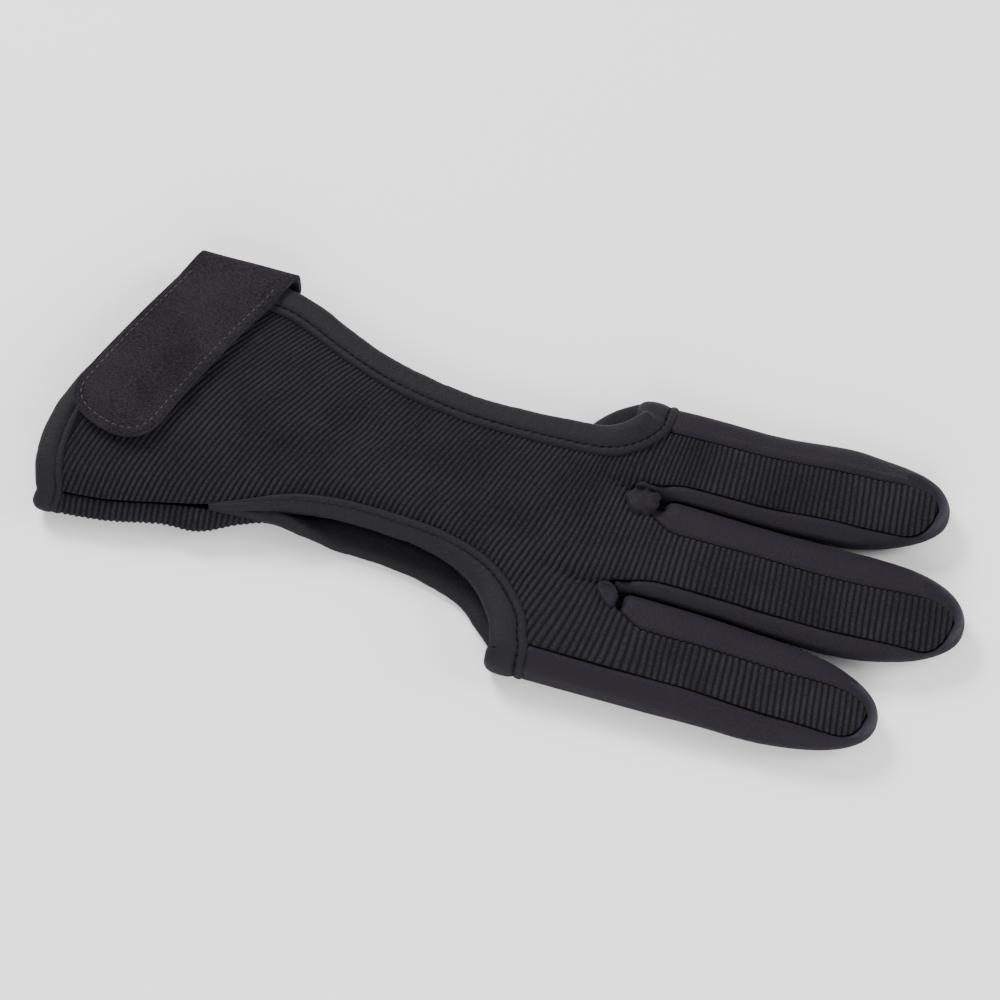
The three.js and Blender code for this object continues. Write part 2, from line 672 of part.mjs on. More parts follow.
// Rows between two, in the steps that the panels are built with.
function rowsBetween(from, to) {
  const count = Math.round(Math.abs(to - from) * ROW_STEPS);
  return range(count).map((i) => lerp(from, to, i / count));
}

// Thumb opening: along the back panel, round the index finger's base and back along the palm panel.
const LOOP_CELLS = 6;
function thumbOpeningBinding() {
  const upper = rowsBetween(OPENING_ROW, SHOULDER).map((t) =>
    edgeOf(backPoint, t, 0, 1, back("lowBand", t) * BAND_WIDTH),
  );
  const x = INDEX_START + SEAM;
  const from = angleAt(index, x, stripEdge(index, x, -1, STRIP_SEAM));
  const to = 2 * Math.PI - angleAt(index, x, stripBase(index, -1));
  const section = (at, angle) => fingerPoint(index, at, angle);
  const round = range(LOOP_CELLS).slice(1, -1).map((i) => ({
    ...edgeOf(section, x, lerp(from, to, i / LOOP_CELLS), -1, LOOP_BAND_WIDTH),
    flush: i / LOOP_CELLS,
  }));
  const lower = rowsBetween(PALM_END, OPENING_ROW).map((t) =>
    openingEdge(t, 0, palm("palmBand", t) * BAND_WIDTH),
  );
  return tape([...upper, ...round, ...lower]);
}

// Side opening: along the palm panel from the strap, round the ring finger's base and back to the cuff.
function sideOpeningBinding() {
  const lower = rowsBetween(SIDE_ROW, PALM_END).map((t) => openingEdge(t, -1, BAND_WIDTH));
  const x = RING_START + SEAM;
  const from = 2 * Math.PI - angleAt(ring, x, stripBase(ring, 1));
  const to = 2 * Math.PI + angleAt(ring, x, stripEdge(ring, x, 1, STRIP_SEAM));
  const section = (at, angle) => fingerPoint(ring, at, angle);
  const round = range(LOOP_CELLS).slice(1, -1).map((i) => ({
    ...edgeOf(section, x, lerp(from, to, i / LOOP_CELLS), -1, BAND_WIDTH),
    flush: 1 - i / LOOP_CELLS,
  }));
  const upper = rowsBetween(CROTCH, 0).map((t) => edgeOf(backPoint, t, 1, 1, BAND_WIDTH, SIDE_ROLL));
  return tape([...lower, ...round, ...upper]);
}

// Cuff end: over the back panel's end from the little-finger side, then under the palm panel's.
const CUFF_CELLS = 14;
function cuffBinding() {
  const over = range(CUFF_CELLS).slice(0, -1).map((i) =>
    edgeOf(backPoint, 0, 1 - i / CUFF_CELLS, 1, CUFF_BAND_WIDTH),
  );
  const cells = 2 * CURL_CELLS + FLAT_CELLS;
  const under = range(cells - 1).map((j) => palmEdge(0, j, CUFF_BAND_WIDTH));
  return tape([...over, ...under]);
}

// The row at which a rising value reaches a limit.
const HALVINGS = 20;
function rowWhere(value, limit) {
  let [from, to] = [0, SHOULDER];
  for (let i = 0; i < HALVINGS; i++) {
    const t = (from + to) / 2;
    if (value(t) < limit) from = t;
    else to = t;
  }
  return from;
}

// The back panel's outer height over a place of the floor.
function panelHeight(x, y) {
  const shareAt = (t) => clamp01((y - back("lowY", t)) / (back("highY", t) - back("lowY", t)));
  const t = rowWhere((row) => backPoint(row, shareAt(row)).x, x);
  return backPoint(t, shareAt(t)).z;
}

// The panels' little-finger border at x.
const sideBorder = (x) => back("highY", rowWhere((row) => back("highX", row), x));

// Wrist strap: sewn to the palm panel's edge, turned up round the side and laid over the back panel.
const STRAP_TURN_POWER = 4;
const STRAP_END_POWER = 2.4;
const STRAP_CELLS = 4;
const STRAP_ROWS = 9; // rows along its straight part
const STRAP_END_ROWS = 4; // rows round its end
const STRAP_TURN = [-90, -60, -30, 0, 30, 60]; // rows round the glove's side, in degrees
function wristStrap() {
  const slant = THREE.MathUtils.degToRad(STRAP_SLANT);
  const over = new THREE.Vector3(-Math.sin(slant), -Math.cos(slant), 0);
  const foldAcross = new THREE.Vector3(1 / Math.cos(slant), 0, 0);
  const endAcross = new THREE.Vector3(Math.cos(slant), -Math.sin(slant), 0);
  const middleX = STRAP_PLACE * HAND_LENGTH;
  const turnY = sideBorder(middleX) + SEAM + BAND_WIDTH + STRAP_CLEAR + STRAP_THICKNESS;
  const edge = new THREE.Vector3(middleX, turnY, 0);
  const tapeTop = BAND_THICKNESS / 2 - WALL / 2;
  const cover = (p) => panelHeight(p.x, p.y) + tapeTop + STRAP_LIFT + STRAP_THICKNESS;
  const place = (reach, side, half) => {
    const across = foldAcross.clone().lerp(endAcross, clamp01(reach / STRAP_REACH));
    return edge.clone().addScaledVector(over, reach).addScaledVector(across, side * half);
  };
  const turnDepth = cover(edge) / 2;
  const rows = [{ reach: turnDepth, lift: 0, sewn: 1 }, { reach: turnDepth, lift: 0, sewn: 0.5 }];
  for (const angle of STRAP_TURN) {
    const turn = THREE.MathUtils.degToRad(angle);
    const power = 2 / STRAP_TURN_POWER;
    rows.push({
      reach: turnDepth * (1 - signedPower(Math.cos(turn), power)),
      lift: (1 + signedPower(Math.sin(turn), power)) / 2,
    });
  }
  const straight = STRAP_REACH - STRAP_ROUND;
  for (const i of range(STRAP_ROWS)) rows.push({ reach: lerp(turnDepth, straight, i / STRAP_ROWS), lift: 1 });
  for (const i of range(STRAP_END_ROWS).slice(1)) {
    const turn = (i / STRAP_END_ROWS) * (Math.PI / 2);
    rows.push({ reach: straight + STRAP_ROUND * Math.sin(turn), lift: 1 });
  }
  const grid = rows.map(({ reach, lift, sewn = 0 }) => {
    const rounding = clamp01((reach - straight) / STRAP_ROUND);
    const half = (STRAP_WIDTH / 2) * (1 - rounding ** STRAP_END_POWER) ** (1 / STRAP_END_POWER);
    return range(2 * STRAP_CELLS).map((j) => {
      const p = place(reach, j / STRAP_CELLS - 1, half);
      p.z = lift * cover(p);
      p.y = lerp(p.y, sideBorder(p.x) + STRAP_SEWN_GAP, sewn);
      return p;
    });
  });
  return sheet([grid], STRAP_THICKNESS);
}

// The glove
const materials = {
  ribbed: new THREE.MeshStandardMaterial({ color: COLOURS.ribbed, roughness: 0.95, metalness: 0 }),
  leather: new THREE.MeshStandardMaterial({ color: COLOURS.leather, roughness: 0.75, metalness: 0 }),
  suede: new THREE.MeshStandardMaterial({ color: COLOURS.suede, roughness: 1, metalness: 0 }),
};
const pieces = {
  back_panel: [backPanel(), materials.ribbed],
  palm_panel: [palmPanel(), materials.ribbed],
  index_finger_leather: [fingerLeather(index), materials.leather],
  middle_finger_leather: [fingerLeather(middle), materials.leather],
  ring_finger_leather: [fingerLeather(ring), materials.leather],
  index_middle_gusset: [crotchGusset(index, middle), materials.leather],
  middle_ring_gusset: [crotchGusset(middle, ring), materials.leather],
  thumb_opening_binding: [thumbOpeningBinding(), materials.leather],
  side_opening_binding: [sideOpeningBinding(), materials.leather],
  cuff_binding: [cuffBinding(), materials.leather],
  wrist_strap: [wristStrap(), materials.suede],
};
const pattern = new THREE.Group();
for (const [name, [geometry, material]] of Object.entries(pieces)) {
  const mesh = new THREE.Mesh(geometry, material);
  mesh.name = name;
  pattern.add(mesh);
}

const bounds = new THREE.Box3().setFromObject(pattern);
const centre = bounds.getCenter(new THREE.Vector3());
pattern.position.set(-centre.x, -centre.y, -bounds.min.z);

const glove = new THREE.Group();
glove.name = "archery_glove";
glove.add(pattern);

export default glove;
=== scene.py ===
import math

import bpy
from mathutils import Matrix, Vector, noise


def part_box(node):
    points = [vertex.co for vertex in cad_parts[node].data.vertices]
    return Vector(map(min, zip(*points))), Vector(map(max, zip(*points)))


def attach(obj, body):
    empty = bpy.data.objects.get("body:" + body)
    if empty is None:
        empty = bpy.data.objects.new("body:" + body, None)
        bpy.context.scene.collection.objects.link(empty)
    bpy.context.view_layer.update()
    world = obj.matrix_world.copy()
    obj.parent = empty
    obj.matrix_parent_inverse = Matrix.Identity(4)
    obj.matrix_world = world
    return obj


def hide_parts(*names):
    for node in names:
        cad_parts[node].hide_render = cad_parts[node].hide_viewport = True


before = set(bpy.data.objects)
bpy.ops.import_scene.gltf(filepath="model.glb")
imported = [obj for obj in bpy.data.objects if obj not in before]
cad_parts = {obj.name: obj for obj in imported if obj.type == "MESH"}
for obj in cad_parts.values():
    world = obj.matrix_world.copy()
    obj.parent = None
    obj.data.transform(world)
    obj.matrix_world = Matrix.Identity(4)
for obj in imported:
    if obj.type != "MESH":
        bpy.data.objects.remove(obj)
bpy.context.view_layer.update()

# Driving sizes, millimetres and degrees
HAND_LENGTH = 134
HAND_WIDTH = 79
HAND_THICKNESS = 13
FINGER_PITCH = 28.2
FINGER_THICKNESS = 10
WALL = 1.1
SEAM = 0.3
STRIP_ROUND = 9
STRIP_POWER = 2.4
STRIP_GAP = 0.2
NOTCH_WIDTH = 6.4
NOTCH_LENGTH = 13
NOTCH_BIAS = 1.5
NOTCH_DEPTH = 2
VALLEY_HEIGHT = 7.6
TIP_ROUND = 17
TIP_DROP = 1.2
INDEX_START = -13.2
RING_START = 3.4
BAND_WIDTH = 7.2
LOOP_BAND_WIDTH = 9
BAND_THICKNESS = 2.2
CUFF_BAND_WIDTH = 5.8
TAPE_WALL = 0.7
FLOOR_GAP = 0.02
PALM_CURL = 10
PALM_CURL_HEIGHT = 8
PALM_SIDE_Z = 0.4
PALM_SEAM_LIFT = 0.11
INDEX_INSET = 6
RING_INSET = 1.6
STRAP_WIDTH = 24.5
STRAP_REACH = 63.5
STRAP_THICKNESS = 1.7
STRAP_LIFT = 0.5
STRAP_ROUND = 10
STRAP_POWER = 2.4
STRAP_CLEAR = 1.8
STRAP_PLACE = -0.84
STRAP_SLANT = 18
STRAP_SEWN_GAP = 0.9
SIDE_ROLL = -14
SECTION_POWER = 2.3
KNUCKLE_POWER = 4.2
TAPER_POWER = 2.2
KNUCKLE_FADE = (4, 42)

# Cells of the meshes: rows for each row of the hand's table; across a strip, along it and round its end;
# across a notch; across the leather, along its straight part and round its tip; on a curled border of the
# palm and between its two borders
ROWS_EACH = 7
STRIP_CELLS = 8
STRIP_ROWS = 32
STRIP_END_ROWS = 10
NOTCH_CELLS = 5
LEATHER_CELLS = 112
LEATHER_ROWS = 36
TIP_ROWS = 46
CURL_CELLS = 9
FLAT_CELLS = 24

# Slow unevenness of each piece: size and amount of the waves
CLOTH_WEAR = [(9, 0.12), (1.1, 0.09)]
LEATHER_WEAR = [(7, 0.2), (22, 0.4)]
TAPE_WEAR = [(5, 0.14), (1.6, 0.07)]
STRAP_WEAR = [(14, 0.35)]

# Ribs of the stretch fabric: pitch on the hand and on the fingers, how far from the knuckle line it changes,
# height, and the cuts of one rib with the share of the height at each
HAND_PITCH = 1.5
FINGER_RIB_PITCH = 1.54
PITCH_CHANGE = 15
RIB_HEIGHT = 0.46
RIB_CUTS = (0.0, 0.2, 0.5, 0.8)
RIB_PROFILE = (0.0, 0.52, 1.0, 0.52)

# How far the ribs lean from the glove's cross direction towards the fingers, at the two sides of the hand.
# Rows: x, lean at the thumb side, lean at the little-finger side, in degrees
RIB_LEAN = [
    (-136, 5, 24),
    (-108, 8, 30),
    (-82, 14, 27),
    (-60, 20, 20),
    (-40, 19, 19),
    (-20, 15, 15),
    (0, 6, 6),
    (20, -2, -2),
    (50, -7, -7),
    (90, -7, -7),
]

# Binding and strap stitches
STITCH_PITCH = 2.2
STITCH_LENGTH = 1.5
STITCH_RADIUS = 0.3
STRAP_STITCH_RADIUS = 0.24
STRAP_STITCH_PITCH = 2.0
STRAP_STITCH_LENGTH = 1.25
STRAP_STITCH_INSET = 1.9

# Camera of the photograph
VIEW_AZIMUTH = 17
VIEW_ELEVATION = 60
VIEW_DISTANCE = 900
VIEW_LENS = 129.6
VIEW_TARGET = (-33, 6.2, 0)


class Finger:
    """place: in finger pitches from the middle finger; tip: from the strip's end to the fingertip; strip: its
    width; shift: how far it lies off the axis; sections: along as a share of the length, lean and width."""

    def __init__(self, place, length, taper, tip, strip, shift, sections):
        self.place = place
        self.length = length
        self.taper = taper
        self.tip = tip
        self.strip = strip
        self.shift = shift
        self.sections = sections


FINGERS = {
    "index": Finger(
        -1, 72.4, 36, 3.0, 11.8, -2.0,
        [(-0.2, 0.015, 0.99), (0.35, 0.005, 1.0), (0.65, -0.025, 1.0), (1, -0.035, 1.0)],
    ),
    "middle": Finger(
        0, 86.5, 31, 3.1, 13.6, -3.2,
        [(-0.2, 0.015, 0.985), (0.3, 0.01, 0.985), (0.6, -0.01, 1.02), (1, 0.055, 1.02)],
    ),
    "ring": Finger(
        1, 75.8, 34, 3.3, 13.6, -2.4,
        [(-0.2, -0.035, 0.91), (0.35, -0.025, 0.93), (0.7, 0.03, 1.0), (1, 0.1, 1.0)],
    ),
}

# Hand sections from the cuff to the knuckles, a row each, as in the solids
HAND_COLUMNS = (
    "low_x", "low_y", "high_x", "high_y", "bow",
    "low_z", "mid_z", "high_z", "curl", "palm_z",
    "low_out", "high_out", "low_band", "palm_band",
)
HAND = [
    (-1.014, -0.353, -0.905, 0.49, -0.052, 0.665, 1, 0.7, 0.14, 0.55, 0, 0, 0.1, 0.1),
    (-0.93, -0.339, -0.84, 0.49, -0.03, 0.665, 1.04, 0.7, 0.14, 0.55, 0, 0, 0.1, 0.1),
    (-0.828, -0.299, -0.776, 0.475, -0.015, 0.67, 1.04, 0.7, 0.14, 0.55, 0, 0, 0.1, 0.1),
    (-0.731, -0.257, -0.713, 0.45, -0.008, 0.71, 1.04, 0.7, 0.15, 0.55, 0.014, 0, 0.1, 0.1),
    (-0.619, -0.178, -0.609, 0.37, 0, 0.82, 1.04, 0.7, 0.15, 0.26, 0.054, 0, 0.5, 0.5),
    (-0.522, -0.149, -0.501, 0.305, 0, 0.89, 1.02, 0.7, 0.14, 0.05, 0.014, 0, 0.62, 0.95),
    (-0.41, -0.149, -0.366, 0.262, 0, 0.9, 1, 0.71, 0.14, 0.02, 0.01, 0, 0.66, 1),
    (-0.306, -0.166, -0.254, 0.252, 0, 0.9, 0.98, 0.73, 0.13, 0.02, 0.022, 0, 0.75, 1),
    (-0.216, -0.215, -0.154, 0.252, 0, 0.89, 0.95, 0.76, 0.09, 0.02, 0.028, 0.015, 0.9, 1),
    (-0.157, -0.289, -0.067, 0.263, 0, 0.85, 0.91, 0.8, 0.05, 0.03, 0.034, 0.09, 1, 1),
    (-0.116, -0.377, -0.015, 0.313, 0, 0.8, 0.86, 0.82, 0.02, 0.06, 0.03, 0.155, 1.1, 1.1),
]
OPENING_ROW = 3.45
TAPE_ROW = 2.85
SIDE_ROW = 2.5

# Soft folds of the back: x, y, direction in degrees from +X, length, width, depth. FOLD_SHARE multiplies all
# the depths.
FOLDS = [
    (-70, 9, -12, 26, 10, 1.1),
    (-40, 1.6, 10, 24, 12, 0.8),
    (-83, -3, 20, 18, 9, 0.8),
    (-57, 16, -30, 22, 7, 0.7),
    (-18, -4, 35, 26, 9, 0.7),
    (-12, 12, -20, 20, 7, 0.5),
    (-96, -14, 8, 30, 9, 0.5),
    (-30, -9, 30, 18, 6, 0.45),
]
FOLD_SHARE = 1.35

# Section of a folded tape from the sewn side: out and up as shares of its width and thickness. GROOVE: where
# its stitches lie; GROOVE_REACH: from where to where it goes; FOLD_START: where the folded part begins.
TAPE_SECTION = [
    (0.0, -0.02), (0.0, 0.2), (0.015, 0.36), (0.05, 0.47), (0.09, 0.48), (0.125, 0.36), (0.155, 0.06),
    (0.215, 0.04), (0.25, 0.26), (0.3, 0.44), (0.4, 0.52), (0.54, 0.55), (0.7, 0.53), (0.83, 0.46),
    (0.93, 0.3), (0.985, 0.08), (0.985, -0.12), (0.93, -0.32), (0.82, -0.44), (0.6, -0.5), (0.35, -0.5),
    (0.0, -0.5),
]
GROOVE = (0.187, 0.2)
GROOVE_REACH = (0.11, 0.27)
FOLD_START = 0.4

# A tape thins towards its end over a length, down to a share of its thickness
TAPE_END = 11
TAPE_END_SHARE = 0.3


def clamp(value, low=0.0, high=1.0):
    return max(low, min(high, value))


def lerp(a, b, share):
    return a + (b - a) * share


def smooth(value, low, high):
    share = clamp((value - low) / (high - low))
    return share * share * (3 - 2 * share)


def hump(value, middle, reach):
    """1 at the middle, falling off smoothly over reach."""
    return math.exp(-(((value - middle) / reach) ** 2))


def signed_power(value, power):
    return math.copysign(abs(value) ** power, value)


def steps(count):
    return [i / count for i in range(count + 1)]


def sample_rows(rows, column, t):
    """A smooth curve through one column of evenly spaced rows."""
    last = len(rows) - 1
    i = int(clamp(math.floor(t), 0, last - 1))
    f = t - i
    a, b, c, d = (rows[int(clamp(k, 0, last))][column] for k in (i - 1, i, i + 1, i + 2))
    return 0.5 * (2 * b + (c - a) * f + (2 * a - 5 * b + 4 * c - d) * f**2 + (3 * b - a - 3 * c + d) * f**3)


def ease_rows(rows, column, position):
    """A column of rows that are placed by their first value, eased from row to row."""
    i = 0
    while i < len(rows) - 2 and position > rows[i + 1][0]:
        i += 1
    return lerp(rows[i][column], rows[i + 1][column], smooth(position, rows[i][0], rows[i + 1][0]))


# Fingers
def finger_section(finger, x):
    """The section at x: its middle across, half width, middle height and half thickness."""
    along = x / finger.length
    taper = clamp((x - finger.length + finger.taper) / finger.taper)
    thin = clamp((x - finger.length + TIP_ROUND) / TIP_ROUND)
    plan = (1 - taper**TAPER_POWER) ** (1 / TAPER_POWER)
    side = (1 - thin**TAPER_POWER) ** (1 / TAPER_POWER)
    middle = (finger.place + ease_rows(finger.sections, 1, along)) * FINGER_PITCH
    half = (FINGER_PITCH - SEAM) / 2 * ease_rows(finger.sections, 2, along) * plan
    height = FINGER_THICKNESS / 2 - TIP_DROP * (1 - side)
    return middle, half, height, FINGER_THICKNESS / 2 * side


def section_power(x):
    return lerp(KNUCKLE_POWER, SECTION_POWER, smooth(x, *KNUCKLE_FADE))


def finger_point(finger, x, angle):
    middle, half, height, rise = finger_section(finger, x)
    power = 2 / section_power(x)
    across = half * signed_power(math.cos(angle), power)
    return Vector((x, middle + across, height + rise * signed_power(math.sin(angle), power)))


def angle_at(finger, x, y):
    """Where the top of the section at x passes y."""
    middle, half, _, _ = finger_section(finger, x)
    share = clamp((y - middle) / half, -1, 1) if half > 1e-4 else 0
    return math.acos(signed_power(share, section_power(x) / 2))


def top_height(finger, x, y):
    return finger_point(finger, x, angle_at(finger, x, y)).z


def knuckle_height(x, y):
    """The fingers' tops and the valleys between them."""
    return max(VALLEY_HEIGHT, *(top_height(finger, x, y) for finger in FINGERS.values()))


def neighbour(finger, side):
    return next((other for other in FINGERS.values() if other.place == finger.place + side), None)


def valley(finger, other, x):
    """Middle of the gap between two fingers."""
    a, b = finger_section(finger, x), finger_section(other, x)
    way = math.copysign(1, b[0] - a[0])
    return (a[0] + way * a[1] + b[0] - way * b[1]) / 2


def strip_edge(finger, x, side, grow):
    """An edge of a finger's strip, moved outwards by grow."""
    end = finger.length - finger.tip + grow
    rounding = clamp((x - end + STRIP_ROUND) / STRIP_ROUND)
    middle = finger_section(finger, x)[0]
    edge = middle + finger.shift + side * finger.strip / 2
    other = neighbour(finger, side)
    if other:
        notch = valley(finger, other, 0) - NOTCH_BIAS - side * NOTCH_WIDTH / 2
        edge = lerp(notch, edge, smooth(x, 0, NOTCH_LENGTH))
    axis = middle + finger.shift * (1 - rounding)
    return axis + (edge + side * grow - axis) * (1 - rounding**STRIP_POWER) ** (1 / STRIP_POWER)


# Back of the hand
INDEX, MIDDLE, RING = FINGERS["index"], FINGERS["middle"], FINGERS["ring"]
LENGTHS = {
    **dict.fromkeys(("low_x", "high_x", "bow"), HAND_LENGTH),
    **dict.fromkeys(("low_y", "high_y"), HAND_WIDTH),
}
HAND_ROWS = [{key: value * LENGTHS.get(key, 1) for key, value in zip(HAND_COLUMNS, row)} for row in HAND]
CROTCH_ROW = {
    **HAND_ROWS[-1],
    "low_x": 0,
    "low_y": strip_edge(INDEX, 0, -1, 0),
    "high_x": RING_START,
    "high_y": strip_edge(RING, RING_START, 1, 0),
}
SHOULDER_REACH = {"x": 0.6, "y": 0.55}
SHOULDER_ROW = {
    **CROTCH_ROW,
    "low_x": INDEX_START,
    "low_y": strip_edge(INDEX, INDEX_START, -1, 0),
    "high_x": lerp(HAND_ROWS[-1]["high_x"], RING_START, SHOULDER_REACH["x"]),
    "high_y": lerp(HAND_ROWS[-1]["high_y"], CROTCH_ROW["high_y"], SHOULDER_REACH["y"]),
}
BACK_ROWS = [*HAND_ROWS, SHOULDER_ROW, CROTCH_ROW]
SHOULDER = len(HAND_ROWS)
CROTCH = len(BACK_ROWS) - 1

# Share of a row over which the thumb border turns down, rows over which the back rises to the fingers' tops,
# and the share from the thumb border that gets there sooner
CURL_SHARE = 0.12
KNUCKLE_ROWS = 3
KNUCKLE_SHARE = 0.25


def back(column, t):
    return sample_rows(BACK_ROWS, column, t)


def bend(v):
    """A bow that is 1 high at a third of the way."""
    return 27 / 4 * v * (1 - v) ** 2


def fold_depth(x, y):
    depth = 0
    for fold_x, fold_y, direction, length, width, deep in FOLDS:
        turn = math.radians(direction)
        along = (x - fold_x) * math.cos(turn) + (y - fold_y) * math.sin(turn)
        across = (y - fold_y) * math.cos(turn) - (x - fold_x) * math.sin(turn)
        depth += FOLD_SHARE * deep * hump(along, 0, length / 2) * hump(across, 0, width / 2)
    return depth


def back_point(t, v):
    low_x = lerp(INDEX_START, 0, t - SHOULDER) if t > SHOULDER else back("low_x", t)
    low_y = strip_edge(INDEX, low_x, -1, 0) if t > SHOULDER else back("low_y", t)
    x = lerp(low_x, back("high_x", t), v) + bend(v) * back("bow", t)
    y = lerp(low_y, back("high_y", t), v)
    border, mid, high, curl = (back(key, t) * HAND_THICKNESS for key in ("low_z", "mid_z", "high_z", "curl"))
    low = border + curl
    turned = curl * max(0, 1 - v / CURL_SHARE) ** 2
    arch = 4 * v * (1 - v)
    dome = lerp(low, high, v) + (mid - (low + high) / 2 - fold_depth(x, y)) * arch - turned
    reached = lerp(SHOULDER, CROTCH, min(1, v / KNUCKLE_SHARE))
    return Vector((x, y, lerp(dome, knuckle_height(x, y), smooth(t, SHOULDER - KNUCKLE_ROWS, reached))))


def share_across(y):
    return (y - CROTCH_ROW["low_y"]) / (CROTCH_ROW["high_y"] - CROTCH_ROW["low_y"])


def crotch_x(v):
    return lerp(CROTCH_ROW["low_x"], CROTCH_ROW["high_x"], v)


# Palm
def strip_base(finger, side):
    """The palm's corner under an outer finger."""
    middle, half, _, _ = finger_section(finger, INDEX_START)
    return middle + side * (half - (INDEX_INSET if side < 0 else RING_INSET))


def under_seam(y):
    """x of the seam between the palm and the leathers."""
    low, high = strip_base(INDEX, -1), strip_base(RING, 1)
    return lerp(INDEX_START, RING_START, clamp((y - low) / (high - low)))


def palm_rows():
    rows = []
    for i, row in enumerate(HAND_ROWS):
        before, after = HAND_ROWS[max(i - 1, 0)], HAND_ROWS[min(i + 1, len(HAND_ROWS) - 1)]
        moved = dict(row)
        for side, sign in (("low", -1), ("high", 1)):
            way = Vector((before[side + "_y"] - after[side + "_y"], after[side + "_x"] - before[side + "_x"]))
            way = way.normalized() * sign * row[side + "_out"] * HAND_WIDTH
            moved[side + "_x"] += way.x
            moved[side + "_y"] += way.y
        rows.append(moved)
    low, high = strip_base(INDEX, -1), strip_base(RING, 1)
    end = {"low_x": under_seam(low), "low_y": low, "high_x": under_seam(high), "high_y": high}
    return [*rows, {**HAND_ROWS[-1], **end}]


PALM_ROWS = palm_rows()
PALM_END = len(PALM_ROWS) - 1
PALM_EASE_ROWS = 2
PALM_SEAM_ROWS = (OPENING_ROW - 0.4, OPENING_ROW + 0.3)


def palm(column, t):
    return sample_rows(PALM_ROWS, column, t)


def palm_row(t):
    """The palm's outer surface in row t: curled up at both borders and flat on the floor between them."""
    radius = PALM_CURL_HEIGHT / 2
    low_top = math.asin(clamp(palm("palm_z", t) * HAND_THICKNESS / radius / 2) * 2 - 1)
    high_top = math.asin(PALM_SIDE_Z / radius - 1)
    low_y, high_y = palm("low_y", t), palm("high_y", t)

    def side(top, border, way):
        angles = [lerp(top, -math.pi / 2, share) for share in steps(CURL_CELLS)]
        return [
            (border + way * PALM_CURL * (math.cos(top) - math.cos(angle)), radius * (1 + math.sin(angle)))
            for angle in angles
        ]

    low, high = side(low_top, low_y, 1), side(high_top, high_y, -1)
    flat = [(lerp(low[-1][0], high[-1][0], share), 0) for share in steps(FLAT_CELLS)[1:-1]]
    row = []
    lift = 1 + PALM_SEAM_LIFT * (1 - smooth(t, *PALM_SEAM_ROWS))
    for y, z in [*low, *flat, *reversed(high)]:
        z *= lift
        v = (y - low_y) / (high_y - low_y)
        x = lerp(palm("low_x", t), palm("high_x", t), v) + bend(clamp(v)) * palm("bow", t)
        row.append(Vector((lerp(x, under_seam(y), smooth(t, PALM_END - PALM_EASE_ROWS, PALM_END)), y, z)))
    return row


# Where the pattern lies in the frame: the middle fingertip is the same point in both.
def frame_offset():
    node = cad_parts["middle_finger_leather"]
    tip = max((vertex.co for vertex in node.data.vertices), key=lambda co: co.x) * 1000
    place = tip - finger_point(MIDDLE, MIDDLE.length, 0)
    return Vector((place.x, place.y, -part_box("palm_panel")[0].z * 1000))


OFFSET = frame_offset()


# Meshes
def point_key(point):
    return tuple(round(c, 4) for c in point)


class Surface:
    """Points with their outer sides and faces, welded where grids share an edge."""

    def __init__(self):
        self.points = []
        self.faces = []
        self.known = {}

    def vertex(self, point):
        key = point_key(point)
        if key not in self.known:
            self.known[key] = len(self.points)
            self.points.append(point)
        return self.known[key]

    def add_grid(self, grid):
        index = [[self.vertex(point) for point in row] for row in grid]
        for row, after in zip(index, index[1:]):
            for k in range(len(row) - 1):
                face = [row[k], after[k], after[k + 1], row[k + 1]]
                corners = [c for i, c in enumerate(face) if c != face[i - 1]]
                if len(set(corners)) > 2:
                    self.faces.append(tuple(corners))
        return self

    def normals(self):
        total = [Vector() for _ in self.points]
        for face in self.faces:
            corners = [self.points[k] for k in face]
            area = Vector()
            for a, b in zip(corners, corners[1:] + corners[:1]):
                area += a.cross(b)
            for k in face:
                total[k] += area
        return [normal.normalized() for normal in total]


def cut_along_ribs(surface, phase):
    """Cuts the faces where the phase passes a rib's cuts. Returns the new surface, normals and phases."""
    normals = surface.normals()
    values = [phase(point) + 1e-5 for point in surface.points]
    made = Surface()
    made.points = list(surface.points)
    sides = list(normals)
    phases = list(values)
    cut_points = {}

    def levels(low, high):
        found = []
        for rib in range(math.floor(low), math.floor(high) + 1):
            found += [rib + cut for cut in RIB_CUTS if low < rib + cut < high]
        return found

    def crossing(a, b, level):
        key = (min(a, b), max(a, b), level)
        if key not in cut_points:
            share = (level - values[a]) / (values[b] - values[a])
            cut_points[key] = len(made.points)
            made.points.append(surface.points[a].lerp(surface.points[b], share))
            sides.append(normals[a].lerp(normals[b], share).normalized())
            phases.append(level)
        return cut_points[key]

    for face in surface.faces:
        for k in range(1, len(face) - 1):
            corners = (face[0], face[k], face[k + 1])
            low, mid, high = sorted(corners, key=lambda c: values[c])
            turned = corners in ((low, mid, high), (mid, high, low), (high, low, mid))
            left, right, passed = low, low, False
            for level in [*levels(values[low], values[high]), None]:
                next_left = high if level is None else crossing(low, high, level)
                polygon = [left, next_left]
                if level is None:
                    if not passed:
                        polygon.append(mid)
                    next_right = high
                elif level < values[mid]:
                    next_right = crossing(low, mid, level)
                    polygon.append(next_right)
                else:
                    next_right = crossing(mid, high, level)
                    polygon.append(next_right)
                    if not passed:
                        polygon.append(mid)
                        passed = True
                polygon.append(right)
                corners_left = [c for i, c in enumerate(polygon) if c != polygon[i - 1]]
                if len(set(corners_left)) > 2:
                    made.faces.append(tuple(reversed(corners_left)) if turned else tuple(corners_left))
                left, right = next_left, next_right
    return made, sides, phases


SOFT_EDGE = ((0.0, 0.12), (0.2, 0.0), (0.8, 0.0), (1.0, 0.12))
CUT_EDGE = ((0.0, 0.1), (0.08, 0.0), (0.44, 0.0), (0.5, 0.22), (0.56, 0.0), (0.92, 0.0), (1.0, 0.1))


